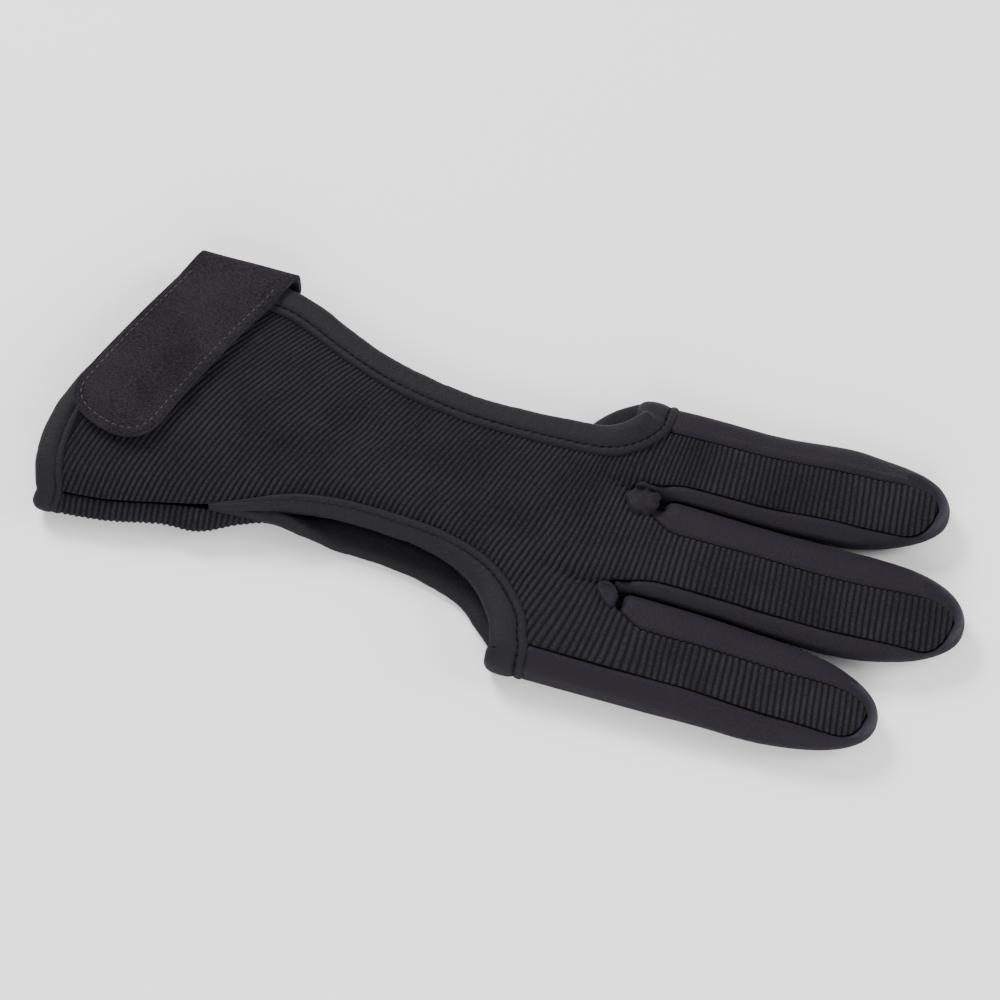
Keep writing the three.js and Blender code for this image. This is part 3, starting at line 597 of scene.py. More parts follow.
def shell(name, points, sides, faces, wall, edge=SOFT_EDGE, inner=None, values=None):
    """A closed sheet of the given wall. edge: rows of depth as a share of the wall and inset in millimetres.
    inner: the inside's points, if they aren't straight behind the outer ones. values: named point values."""
    count = len(points)
    open_edges = {}
    used = set()
    for face in faces:
        for a, b in zip(face, face[1:] + face[:1]):
            used.add((a, b))
    for a, b in used:
        if (b, a) not in used:
            open_edges[a] = b
    before = {b: a for a, b in open_edges.items()}
    border = [k for k in open_edges if k in before]
    outwards = {}
    for k in border:
        along = points[open_edges[k]] - points[before[k]]
        outwards[k] = along.cross(sides[k]).normalized()
    behind = inner or [point - side * wall for point, side in zip(points, sides)]
    all_points = list(points)
    for k in border:
        all_points[k] = points[k] - outwards[k] * edge[0][1]
    all_points += behind
    all_faces = list(faces) + [tuple(reversed([k + count for k in face])) for face in faces]
    rings = [{k: k for k in border}]
    for depth, inset in edge[1:-1]:
        ring = {}
        for k in border:
            ring[k] = len(all_points)
            all_points.append(points[k].lerp(behind[k], depth) - outwards[k] * inset)
        rings.append(ring)
    rings.append({k: k + count for k in border})
    for k in border:
        all_points[k + count] = behind[k] - outwards[k] * edge[-1][1]
    for upper, lower in zip(rings, rings[1:]):
        for k in border:
            after = open_edges[k]
            if after in upper:
                all_faces.append((upper[after], upper[k], lower[k], lower[after]))
    extra = {key: list(column) + list(column) for key, column in (values or {}).items()}
    return mesh_object(name, all_points, all_faces, extra)


def mesh_object(name, points, faces, values=None):
    mesh = bpy.data.meshes.new(name)
    mesh.from_pydata([(point + OFFSET) * 0.001 for point in points], [], faces)
    mesh.validate()
    for key, column in (values or {}).items():
        attribute = mesh.attributes.new(key, "FLOAT", "POINT")
        column = column + [0.0] * (len(mesh.vertices) - len(column))
        attribute.data.foreach_set("value", column)
    mesh.shade_smooth()
    made = bpy.data.objects.new(name, mesh)
    bpy.context.scene.collection.objects.link(made)
    return made


def worn(point, waves):
    return sum(amount * noise.noise(point / size) for size, amount in waves)


def above_floor(point, side, wall):
    """The point, raised where it or the wall's inside behind it would lie under the floor."""
    return Vector((point.x, point.y, max(point.z, FLOOR_GAP + wall * max(side.z, 0.0))))


def dress(piece, material, *nodes, slot):
    piece.data.materials.append(material)
    if nodes:
        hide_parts(*nodes)
    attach(piece, "root")
    return piece


# Ribbed cloth: the width and the middle that the table of leans is meant for, the lean on the palm, the waves
# of the ribs, a count that keeps the phase positive, and the palm's share of a rib's height
LEAN_WIDTH = HAND_WIDTH * 0.8
LEAN_MIDDLE = 6
PALM_LEAN = 12
RIB_WAVES = [(17, 0.5), (2.6, 0.14)]
FIRST_RIB = 200
PALM_RIB_SHARE = 0.8


def rib_count(x):
    """Ribs from the knuckle line to x, with a middle pitch near the knuckles."""
    near = clamp(x, -PITCH_CHANGE, PITCH_CHANGE)
    beyond = (x - near) / (HAND_PITCH if x < 0 else FINGER_RIB_PITCH)
    return beyond + near * 2 / (HAND_PITCH + FINGER_RIB_PITCH)


def lean_shift(x, y):
    """How far a rib has moved along the glove at y, by its lean."""
    i = 0
    while i < len(RIB_LEAN) - 2 and x > RIB_LEAN[i + 1][0]:
        i += 1
    share = smooth(x, RIB_LEAN[i][0], RIB_LEAN[i + 1][0])
    low = math.tan(math.radians(lerp(RIB_LEAN[i][1], RIB_LEAN[i + 1][1], share)))
    high = math.tan(math.radians(lerp(RIB_LEAN[i][2], RIB_LEAN[i + 1][2], share)))
    return low * y + (high - low) * (y * y / 2 + y * LEAN_WIDTH / 2) / LEAN_WIDTH


def back_phase(point):
    wave = worn(Vector((point.x, point.y, 0)), RIB_WAVES)
    return rib_count(point.x - lean_shift(point.x, point.y + LEAN_MIDDLE) + wave) + FIRST_RIB


def palm_phase(point):
    return rib_count(point.x + math.tan(math.radians(PALM_LEAN)) * (point.y - point.z)) + FIRST_RIB


def rib_height(phase):
    """Height over the valleys as a share, at a phase of whole ribs."""
    share = phase % 1
    cuts, heights = (*RIB_CUTS, 1.0), (*RIB_PROFILE, RIB_PROFILE[0])
    k = next(i for i in range(len(RIB_CUTS)) if share <= cuts[i + 1])
    return lerp(heights[k], heights[k + 1], (share - cuts[k]) / (cuts[k + 1] - cuts[k]))


def ribbed(name, surface, phase, height, level):
    """A ribbed sheet. level: the share of a rib's height that lies on the surface."""
    cut, sides, phases = cut_along_ribs(surface, phase)
    crests = [rib_height(value) for value in phases]
    inner = [point - side * WALL for point, side in zip(cut.points, sides)]
    outer = [
        above_floor(point + side * ((crest - level) * height + worn(point, CLOTH_WEAR)), side, 0.0)
        for point, side, crest in zip(cut.points, sides, crests)
    ]
    # The crest values also paint shade and light: the material darkens the rib valleys and lightens the
    # crests.
    return shell(name, outer, sides, cut.faces, WALL, inner=inner, values={"crest": crests})


def notch_dip(y):
    """How far the crotches reach back at y."""
    for low, high in ((INDEX, MIDDLE), (MIDDLE, RING)):
        from_y, to_y = strip_edge(low, 0, 1, 0), strip_edge(high, 0, -1, 0)
        if from_y < y < to_y:
            share = 2 * (y - from_y) / (to_y - from_y) - 1
            return NOTCH_DEPTH * math.sqrt(1 - share**2)
    return 0


def back_cloth():
    across = []
    spans = {}
    for name, finger in FINGERS.items():
        from_y, to_y = strip_edge(finger, 0, -1, 0), strip_edge(finger, 0, 1, 0)
        first = len(across)
        across += [lerp(from_y, to_y, share) for share in steps(STRIP_CELLS)]
        spans[name] = (first, len(across))
        other = neighbour(finger, 1)
        if other:
            next_y = strip_edge(other, 0, -1, 0)
            across += [lerp(to_y, next_y, share) for share in steps(NOTCH_CELLS)[1:-1]]
    rows = CROTCH * ROWS_EACH
    hand = [[back_point(CROTCH * t, share_across(y)) for y in across] for t in steps(rows)]
    for row, t in zip(hand, steps(rows)):
        for point, y in zip(row, across):
            point.x -= notch_dip(y) * smooth(t * CROTCH, CROTCH - 1, CROTCH)
    surface = Surface().add_grid(hand)
    for name, finger in FINGERS.items():
        first, last = spans[name]
        start = hand[-1][first:last]
        end = finger.length - finger.tip
        grid = [start]
        straight = end - STRIP_ROUND
        for along in steps(STRIP_ROWS)[1:]:
            xs = [lerp(point.x, straight, along) for point in start]
            grid.append([strip_point(finger, x, share) for x, share in zip(xs, steps(STRIP_CELLS))])
        for turn in steps(STRIP_END_ROWS)[1:]:
            x = straight + STRIP_ROUND * math.sin(turn * math.pi / 2)
            grid.append([strip_point(finger, x, share) for share in steps(STRIP_CELLS)])
        surface.add_grid(grid)
    return ribbed("back_cloth", surface, back_phase, RIB_HEIGHT, 0.5)


def strip_point(finger, x, share):
    y = lerp(strip_edge(finger, x, -1, 0), strip_edge(finger, x, 1, 0), share)
    return finger_point(finger, x, angle_at(finger, x, y))


def palm_cloth():
    grid = [palm_row(PALM_END * t)[::-1] for t in steps(PALM_END * ROWS_EACH)]
    return ribbed("palm_cloth", Surface().add_grid(grid), palm_phase, RIB_HEIGHT * PALM_RIB_SHARE, 1)


# Finger leather. SIDE_HEIGHTS: shares of the thickness between which its base goes from the palm's seam to
# the back's; TOP_HEIGHTS: those between which its top side begins.
SIDE_HEIGHTS = (0.45, 0.7)
TOP_HEIGHTS = (0.45, 0.8)

# Beside the strip the leather dips to the seam and puffs up in a roll. Round the strip's end it has a narrow
# rim, which rises between two distances before the end and is painted lighter as a painted highlight.
# PLAIN_CREST is the crest value away from the rim, which leaves the colour about as it is.
DIP_DEPTH = 0.35
DIP_WIDTH = 0.5
ROLL_WIDTH = 3.2
ROLL_HEIGHT = 0.32
RIM_HEIGHT = 0.5
RIM_PLACE = 1.0
RIM_WIDTH = 0.42
RIM_START = (7, 2)
PLAIN_CREST = 0.3
SIDE_WEAR = 0.15

# How much closer a point beside a strip's rounded end lies than its section tells
ROUND_SHARE = 0.9

# Small pits in the crotches, where the leathers of two fingers part: x, y, radii along and across, depth
PITS = [(4.4, -17.0, 1.2, 4.2, 4.2), (6.7, 12.4, 1.9, 3.0, 4.2)]
PIT_FLOOR = 0.4 * FINGER_THICKNESS


def leather_base(finger, point):
    """x of the leather's border in line with a point."""
    side = -1 if point.y < finger_section(finger, 0)[0] else 1
    ends = INDEX_START if side < 0 else RING_START
    start = crotch_x(clamp(share_across(point.y))) + 2 * SEAM if neighbour(finger, side) else ends
    return lerp(under_seam(point.y), start, smooth(point.z / FINGER_THICKNESS, *SIDE_HEIGHTS)) + SEAM


def leather_point(finger, x, share):
    """A share of the way round under the finger, from one edge of the strip to the other."""
    low, high = (angle_at(finger, x, strip_edge(finger, x, side, STRIP_GAP)) for side in (-1, 1))
    return finger_point(finger, x, lerp(low, high + 2 * math.pi, share))


def pit_depth(point):
    if point.z < PIT_FLOOR:
        return 0
    return sum(
        depth * hump(point.x, x, along_radius) * hump(point.y, y, across_radius)
        for x, y, along_radius, across_radius, depth in PITS
    )


def finger_leather(name, finger):
    straight = finger.length - finger.taper
    places = [1 - share for share in steps(LEATHER_CELLS)]
    bases = [leather_base(finger, leather_point(finger, 0, place)) for place in places]
    grid = []
    for share in steps(LEATHER_ROWS)[:-1]:
        xs = [lerp(base, straight, share) for base in bases]
        grid.append([leather_point(finger, x, place) for x, place in zip(xs, places)])
    for share in steps(TIP_ROWS):
        x = straight + finger.taper * math.sin(share * math.pi / 2)
        grid.append([leather_point(finger, x, place) for place in places])
    surface = Surface().add_grid(grid)
    sides = surface.normals()
    strip_end = finger.length - finger.tip
    points = []
    crests = []
    for point, side in zip(surface.points, sides):
        top = smooth(point.z / FINGER_THICKNESS, *TOP_HEIGHTS) if side.z > 0 else 0
        away = distance_to_strip(finger, point)
        roll = ROLL_HEIGHT * hump(away, ROLL_WIDTH / 2, ROLL_WIDTH / 3) - DIP_DEPTH * hump(away, 0, DIP_WIDTH)
        near_end = smooth(point.x, *(strip_end - before for before in RIM_START)) if side.z > 0 else 0
        rim = near_end * hump(away, RIM_PLACE, RIM_WIDTH)
        # Painted highlight: on the rim the crest value lightens the colour up to three times.
        crests.append(lerp(PLAIN_CREST, 1, rim))
        uneven = lerp(SIDE_WEAR, 1, side.z**2) * worn(point, LEATHER_WEAR)
        moved = point + side * (top * roll + RIM_HEIGHT * rim + uneven)
        moved.z = max(moved.z - pit_depth(point), FLOOR_GAP)
        points.append(moved)
    return shell(name + "_leather", points, sides, surface.faces, WALL, values={"crest": crests})


def distance_to_strip(finger, point):
    """How far a point of the finger's top lies outside the ribbed strip."""
    straight = finger.length - finger.tip - STRIP_ROUND
    low, high = (strip_edge(finger, min(point.x, straight), side, 0) for side in (-1, 1))
    if point.x <= straight:
        return max(low - point.y, point.y - high, 0)
    half = (high - low) / 2
    beyond = (point.x - straight) / STRIP_ROUND
    across = abs(point.y - finger_section(finger, point.x)[0]) / half
    share = (beyond**STRIP_POWER + across**STRIP_POWER) ** (1 / STRIP_POWER)
    return max(0, (share - 1) * min(STRIP_ROUND, half) * ROUND_SHARE)


# Crotch gussets: puffed patches of leather over the notches of the cloth. Outlines are x, y corners.
TRIANGLE = [(-4.2, -13.0), (4.0, -23.0), (3.9, -12.4)]
KNOB = [
    (2.4 + 4.5 * math.cos(math.radians(turn)), 11.5 + 5.2 * math.sin(math.radians(turn)))
    for turn in range(0, 360, 45)
]

# The rolled border: how far inside the outline its ridge and the dip behind it lie, their reaches, and the
# dip's share of the height. The outline is turned down from a share of the way out.
RIDGE = (0.8, 0.7)
DIP = (2.2, 0.45)
DIP_SHARE = 0.6
TURN_SHARE = 0.9
TURN_DEPTH = 0.8
PATCH_WALL = WALL * 0.8
PATCH_RINGS = 16
PATCH_WEAR = 2.0


def rounded(corners, passes):
    """A closed outline with its corners cut again and again."""
    for _ in range(passes):
        after = corners[1:] + corners[:1]
        corners = [a.lerp(b, share) for a, b in zip(corners, after) for share in (0.25, 0.75)]
    return corners


def crotch_patch(name, corners, crown, lift, rim, fold):
    """crown: how far it is puffed; lift: its border over the cloth; rim: height of a rolled border at its
    little-finger side; fold: unevenness."""
    outline = rounded([Vector((x, y, 0)) for x, y in corners], 3)
    centre = sum(outline, Vector()) / len(outline)
    reach = max(point.y for point in outline) - centre.y
    grid = []
    for share in steps(PATCH_RINGS):
        row = []
        for point in [*outline, outline[0]]:
            place = centre.lerp(point, share)
            inside = centre.y + reach - place.y
            puff = crown * math.sqrt(1 - share**3)
            roll = rim * (hump(inside, *RIDGE) - DIP_SHARE * hump(inside, *DIP))
            turned = TURN_DEPTH * smooth(share, TURN_SHARE, 1)
            place.z = knuckle_height(place.x, place.y) + lift + puff + roll - turned
            row.append(place)
        grid.append(row)
    surface = Surface().add_grid(grid)
    sides = surface.normals()
    points = [point + side * worn(point, [(PATCH_WEAR, fold)]) for point, side in zip(surface.points, sides)]
    plain = {"crest": [PLAIN_CREST] * len(points)}
    return shell(name, points, sides, surface.faces, PATCH_WALL, values=plain)


# Folded binding tape. A station is a place on the sewn edge, the outer side there, the tape's width and roll,
# and how far its outside is flush with the edge's.
SLOPE_STEP = 0.02
LOOP_GAP = 0.4
LOOP_CELLS = 12
CUFF_CELLS = 30
FLAT_START = (OPENING_ROW + 0.5, OPENING_ROW + 1.5)


def edge_of(surface, a, b, way, width, roll=0.0, flush=0.0):
    along = surface(a + SLOPE_STEP, b) - surface(a - SLOPE_STEP, b)
    across = surface(a, b + SLOPE_STEP) - surface(a, b - SLOPE_STEP)
    return surface(a, b), along.cross(across).normalized() * way, width, roll, flush


def palm_edge(t, j, width):
    row = palm_row(t)
    k = len(row) - 1 if j < 0 else j
    before, after = row[max(k - 1, 0)], row[min(k + 1, len(row) - 1)]
    outer = Vector((0, after.z - before.z, before.y - after.y)).normalized()
    return row[k], outer, width, 0.0, 1.0


def opening_edge(t, j, width):
    edge, outer, width, roll, flush = palm_edge(t, j, width)
    outer = outer.lerp(Vector((0, 0, -1)), smooth(t, *FLAT_START)).normalized()
    return edge, outer, width, roll, flush


def even(stations, spacing):
    """The stations again, at even steps along the sewn edge."""
    edges = [station[0] for station in stations]
    reach = [0.0]
    for a, b in zip(edges, edges[1:]):
        reach.append(reach[-1] + (b - a).length)
    count = max(2, round(reach[-1] / spacing))
    made = []
    k = 0
    for share in steps(count):
        target = share * reach[-1]
        while k < len(reach) - 2 and reach[k + 1] < target:
            k += 1
        part = clamp((target - reach[k]) / max(reach[k + 1] - reach[k], 1e-6))
        a, b = stations[k], stations[k + 1]
        outer = a[1].lerp(b[1], part).normalized()
        made.append((a[0].lerp(b[0], part), outer, *(lerp(p, q, part) for p, q in zip(a[2:], b[2:]))))
    return made


def softened(stations, passes):
    """The stations with their corners rounded a little."""
    made = list(stations)
    for _ in range(passes):
        made = [made[0]] + [
            (
                (a[0] + b[0] * 2 + c[0]) / 4,
                (a[1] + b[1] * 2 + c[1]).normalized(),
                *((p + 2 * q + r) / 4 for p, q, r in zip(a[2:], b[2:], c[2:])),
            )
            for a, b, c in zip(made, made[1:], made[2:])
        ] + [made[-1]]
    return made


def tape_frames(stations, eased):
    """Place, axis, outwards and upwards directions, width, thickness and depth of each station."""
    reach = [0.0]
    for a, b in zip(stations, stations[1:]):
        reach.append(reach[-1] + (b[0] - a[0]).length)
    frames = []
    for i, (edge, outer, width, roll, flush) in enumerate(stations):
        before, after = stations[max(i - 1, 0)][0], stations[min(i + 1, len(stations) - 1)][0]
        axis = (after - before).normalized()
        out = axis.cross(outer).normalized()
        out.rotate(Matrix.Rotation(math.radians(roll), 3, axis))
        from_end = min(reach[i], reach[-1] - reach[i])
        thickness = BAND_THICKNESS * (lerp(TAPE_END_SHARE, 1, smooth(from_end, 0, TAPE_END)) if eased else 1)
        frames.append((edge, axis, out, out.cross(axis), width, thickness, lerp(WALL, thickness, flush) / 2))
    return frames


# Rows of a tape from one stitch to the next, what they add to the groove's height, the size and height of the
# creases over the fold and the row of the noise that they are taken from, and how the groove's height tells
# its crest value, a painted shade that darkens the groove
STITCH_ROWS = 4
PUCKER = (0.14, -0.04, -0.34, -0.04)
CREASE = (1.4, 0.035)
CREASE_ROW = 3.7
GROOVE_SHADE = (0.2, 1.9)
TAPE_PASSES = 18


def tape(name, stations, eased=False):
    spacing = STITCH_PITCH / STITCH_ROWS
    frames = tape_frames(softened(even(stations, spacing), TAPE_PASSES), eased)
    lit = {}
    grid = []
    for i, (edge, _, out, up, width, thickness, depth) in enumerate(frames):
        crease = CREASE[1] * noise.noise(Vector((i * spacing / CREASE[0], CREASE_ROW, 0)))
        row = []
        for share, height in TAPE_SECTION:
            crest = 1.0
            # Painted shade: the groove's colour darkens with its depth.
            if GROOVE_REACH[0] < share < GROOVE_REACH[1] and height > 0:
                crest = clamp(GROOVE_SHADE[0] + GROOVE_SHADE[1] * height)
                height += PUCKER[i % STITCH_ROWS]
            if share > FOLD_START:
                height += crease
            row.append(edge + out * (SEAM + share * width) + up * (height * thickness - depth))
            lit[point_key(row[-1])] = crest
        grid.append(row)
    surface = Surface().add_grid(grid)
    sides = surface.normals()
    crests = [lit[point_key(point)] for point in surface.points]
    points = [
        above_floor(point + side * worn(point, TAPE_WEAR), side, TAPE_WALL)
        for point, side in zip(surface.points, sides)
    ]
    return shell(name, points, sides, surface.faces, TAPE_WALL, values={"crest": crests}), frames


def rows_between(start, end):
    """Rows between two, five to each row of the table."""
    return [lerp(start, end, share) for share in steps(max(1, round(abs(end - start) * 5)))]


def turn_round(finger, side, start, flush):
    """Stations round an outer finger's base, between its strip and the palm's corner under it. flush: how far
    the tape is flush with the finger at the first and the last."""
    x = start + SEAM
    top = angle_at(finger, x, strip_edge(finger, x, side, LOOP_GAP))
    under = 2 * math.pi - angle_at(finger, x, strip_base(finger, side))
    low, high = (top, under) if side < 0 else (under, 2 * math.pi + top)

    def section(at, angle):
        return finger_point(finger, at, angle)

    return [
        edge_of(section, x, lerp(low, high, share), -1, LOOP_BAND_WIDTH, flush=lerp(*flush, share))
        for share in steps(LOOP_CELLS)[1:-1]
    ]


def thumb_opening_stations():
    rows = rows_between(TAPE_ROW, SHOULDER)
    upper = [edge_of(back_point, t, 0, 1, back("low_band", t) * BAND_WIDTH) for t in rows]
    turn = turn_round(INDEX, -1, INDEX_START, (0, 1))
    lower = [opening_edge(t, 0, palm("palm_band", t) * BAND_WIDTH) for t in rows_between(PALM_END, TAPE_ROW)]
    return [*upper, *turn, *lower]


def side_opening_stations():
    lower = [opening_edge(t, -1, BAND_WIDTH) for t in rows_between(SIDE_ROW, PALM_END)]
    turn = turn_round(RING, 1, RING_START, (1, 0))
    upper = [edge_of(back_point, t, 1, 1, BAND_WIDTH, SIDE_ROLL) for t in rows_between(CROTCH, 0)]
    return [*lower, *turn, *upper]


def cuff_stations():
    over = [edge_of(back_point, 0, 1 - share, 1, CUFF_BAND_WIDTH) for share in steps(CUFF_CELLS)[:-1]]
    under = [palm_edge(0, j, CUFF_BAND_WIDTH) for j in range(2 * CURL_CELLS + FLAT_CELLS - 2)]
    return [*over, *under]


# Stitches. Rings of a thread: place along its half length, share of its radius.
STITCH_RINGS = [(-1.0, 0.35), (-0.75, 0.9), (-0.25, 1.0), (0.25, 1.0), (0.75, 0.9), (1.0, 0.35)]
STITCH_SIDES = 8
BACK_STITCH_SHARE = 0.8
LEAST_WIDTH = 0.5
LEAST_THICKNESS = 0.8


def stitch_mesh(places):
    """Short rounded threads. places: middle, direction, upward side, length and radius."""
    points, faces = [], []
    turns = [2 * math.pi * k / STITCH_SIDES for k in range(STITCH_SIDES)]
    for middle, way, up, length, radius in places:
        across = way.cross(up).normalized()
        starts = []
        for share, size in STITCH_RINGS:
            starts.append(len(points))
            for turn in turns:
                offset = across * math.cos(turn) + up * math.sin(turn)
                points.append(middle + way * share * length / 2 + offset * radius * size)
        for first, after in zip(starts, starts[1:]):
            for k in range(STITCH_SIDES):
                beside = (k + 1) % STITCH_SIDES
                faces.append((first + k, first + beside, after + beside, after + k))
        faces.append(tuple(starts[0] + k for k in reversed(range(STITCH_SIDES))))
        faces.append(tuple(starts[-1] + k for k in range(STITCH_SIDES)))
    return points, faces


def groove_places(frames):
    """Stitches along a tape, where it is wide and thick enough: in its groove and on its other side."""
    places = []
    for edge, axis, out, up, width, thickness, depth in frames[STITCH_ROWS:-STITCH_ROWS:STITCH_ROWS]:
        if width < BAND_WIDTH * LEAST_WIDTH or thickness < BAND_THICKNESS * LEAST_THICKNESS:
            continue
        middle = edge + out * (SEAM + GROOVE[0] * width)
        places.append((middle + up * (GROOVE[1] * thickness - depth), axis, up, STITCH_LENGTH, STITCH_RADIUS))
        radius = STITCH_RADIUS * BACK_STITCH_SHARE
        places.append((middle - up * (thickness / 2 + depth), axis, up, STITCH_LENGTH, radius))
    return places


# Wrist strap. Its rows: on the sewn end, round the turn in degrees, on the straight part and round its end.
STRAP_SEWN_ROWS = 6
STRAP_TURN = range(-90, 90, 10)
STRAP_ROWS = 38
STRAP_END_ROWS = 16
STRAP_CELLS = 20
TURN_POWER = 0.5
HALVINGS = 20


def row_where(value, limit):
    """The last row in which a value that grows along the hand is under the limit."""
    low, high = 0, SHOULDER
    for _ in range(HALVINGS):
        t = (low + high) / 2
        if value(t) < limit:
            low = t
        else:
            high = t
    return low


def panel_height(x, y):
    def share_at(t):
        return clamp((y - back("low_y", t)) / (back("high_y", t) - back("low_y", t)))

    t = row_where(lambda row: back_point(row, share_at(row)).x, x)
    return back_point(t, share_at(t)).z


def side_border(x):
    return back("high_y", row_where(lambda row: back("high_x", row), x))


def strap_top(point):
    return panel_height(point.x, point.y) + (BAND_THICKNESS - WALL) / 2 + STRAP_LIFT + STRAP_THICKNESS


def strap_rows():
    """Rows of the strap: reach over the hand, lift from the floor to the top, and how far it is sewn on."""
    slant = math.radians(STRAP_SLANT)
    over = Vector((-math.sin(slant), -math.cos(slant), 0))
    fold_across = Vector((1 / math.cos(slant), 0, 0))
    end_across = Vector((math.cos(slant), -math.sin(slant), 0))
    middle_x = STRAP_PLACE * HAND_LENGTH
    turn_y = side_border(middle_x) + SEAM + BAND_WIDTH + STRAP_CLEAR + STRAP_THICKNESS
    edge = Vector((middle_x, turn_y, 0))

    def place(reach, side, half):
        across = fold_across.lerp(end_across, clamp(reach / STRAP_REACH))
        return edge + over * reach + across * side * half

    turn_depth = strap_top(edge) / 2
    straight = STRAP_REACH - STRAP_ROUND
    rows = [(turn_depth, 0.0, 1 - share) for share in steps(STRAP_SEWN_ROWS)[:-1]]
    for angle in STRAP_TURN:
        reach, lift = (signed_power(part(math.radians(angle)), TURN_POWER) for part in (math.cos, math.sin))
        rows.append((turn_depth * (1 - reach), (1 + lift) / 2, 0))
    rows += [(lerp(turn_depth, straight, share), 1.0, 0) for share in steps(STRAP_ROWS)]
    ends = [math.sin(share * math.pi / 2) for share in steps(STRAP_END_ROWS)[1:]]
    rows += [(straight + STRAP_ROUND * end, 1.0, 0) for end in ends]
    made = []
    for reach, lift, sewn in rows:
        rounding = clamp((reach - straight) / STRAP_ROUND)
        half = STRAP_WIDTH / 2 * (1 - rounding**STRAP_POWER) ** (1 / STRAP_POWER)
        row = []
        for share in steps(STRAP_CELLS):
            point = place(reach, 2 * share - 1, half)
            point.z = lift * strap_top(point)
            point.y = lerp(point.y, side_border(point.x) + STRAP_SEWN_GAP, sewn)
            row.append(point)
        made.append(row)
    return made


def wrist_strap(rows):
    surface = Surface().add_grid(rows)
    sides = surface.normals()
    points = [
        above_floor(point + side * worn(point, STRAP_WEAR), side, 0.0)
        for point, side in zip(surface.points, sides)
    ]
    return shell("strap", points, sides, surface.faces, STRAP_THICKNESS, edge=CUT_EDGE)


def strap_places(rows):
    """Stitches a little inside the strap's outline, round its end."""
    start = STRAP_SEWN_ROWS + len(STRAP_TURN) + 1
    up = Vector((0, 0, 1))
    outline = [row[0] for row in rows[start:]] + [row[-1] for row in reversed(rows[start:])]
    line = []
    for i, point in enumerate(outline):
        before, after = outline[max(i - 1, 0)], outline[min(i + 1, len(outline) - 1)]
        way = (after - before).normalized()
        inwards = up.cross(way).normalized()
        line.append(point + inwards * STRAP_STITCH_INSET)
    places = []
    walked = 0.0
    for before, after in zip(line, line[1:]):
        step = after - before
        length = step.length
        if length < 1e-4:
            continue
        place = STRAP_STITCH_PITCH - walked
        while place < length:
            middle = before + step * (place / length)
            middle.z = strap_top(middle)
            places.append((middle, step.normalized(), up, STRAP_STITCH_LENGTH, STRAP_STITCH_RADIUS))
            place += STRAP_STITCH_PITCH
        walked = (walked + length) % STRAP_STITCH_PITCH
    return places


# Materials
def node_group(name, inputs, outputs):
    group = bpy.data.node_groups.new(name, "ShaderNodeTree")
    for label, kind in inputs:
        group.interface.new_socket(name=label, in_out="INPUT", socket_type=kind)
    for label, kind in outputs:
        group.interface.new_socket(name=label, in_out="OUTPUT", socket_type=kind)
    return group, group.nodes.new("NodeGroupInput"), group.nodes.new("NodeGroupOutput")


def add_node(tree, kind, links=(), **settings):
    """A node with its settings and inputs. links: (input, value or output socket)."""
    made = tree.nodes.new(kind)
    for key, value in settings.items():
        setattr(made, key, value)
    for key, value in links:
        if isinstance(value, bpy.types.NodeSocket):
            tree.links.new(value, made.inputs[key])
        else:
            made.inputs[key].default_value = value
    return made


def grain_group():
    """Fine pebbled grain and slow mottling of leather-like microfibre."""
    group, _, out = node_group("grain", [], [("Mottle", "NodeSocketFloat"), ("Height", "NodeSocketFloat")])
    place = add_node(group, "ShaderNodeTexCoord").outputs["Object"]
    slow = add_node(group, "ShaderNodeTexNoise", [("Vector", place), ("Scale", 55.0), ("Detail", 4.0)])
    cells = add_node(
        group, "ShaderNodeTexVoronoi", [("Vector", place), ("Scale", 1500.0)], feature="SMOOTH_F1"
    )
    fine = add_node(group, "ShaderNodeTexNoise", [("Vector", place), ("Scale", 2400.0), ("Detail", 3.0)])
    mixed = add_node(
        group, "ShaderNodeMath", [(0, cells.outputs["Distance"]), (1, fine.outputs["Fac"])], operation="ADD"
    )
    group.links.new(slow.outputs["Fac"], out.inputs["Mottle"])
    group.links.new(mixed.outputs[0], out.inputs["Height"])
    return group


def fibre_group():
    """Fuzz and specks of knitted or napped cloth."""
    group, _, out = node_group("fibre", [], [("Mottle", "NodeSocketFloat"), ("Height", "NodeSocketFloat")])
    place = add_node(group, "ShaderNodeTexCoord").outputs["Object"]
    slow = add_node(group, "ShaderNodeTexNoise", [("Vector", place), ("Scale", 70.0), ("Detail", 5.0)])
    fuzz = add_node(group, "ShaderNodeTexNoise", [("Vector", place), ("Scale", 1900.0), ("Detail", 5.0)])
    group.links.new(slow.outputs["Fac"], out.inputs["Mottle"])
    group.links.new(fuzz.outputs["Fac"], out.inputs["Height"])
    return group


# Share of the slow mottling in a colour, how far the heights spread about their middle, how the mottling
# changes the roughness, and what all soft materials share
MOTTLE = 0.4
SPREAD = 0.13
ROUGHNESS_CHANGE = (-0.06, 0.08)
BUMP_STRENGTH = 0.6
SHEEN_ROUGHNESS = 0.5
SHEEN_TINT = (0.8, 0.78, 0.85, 1)


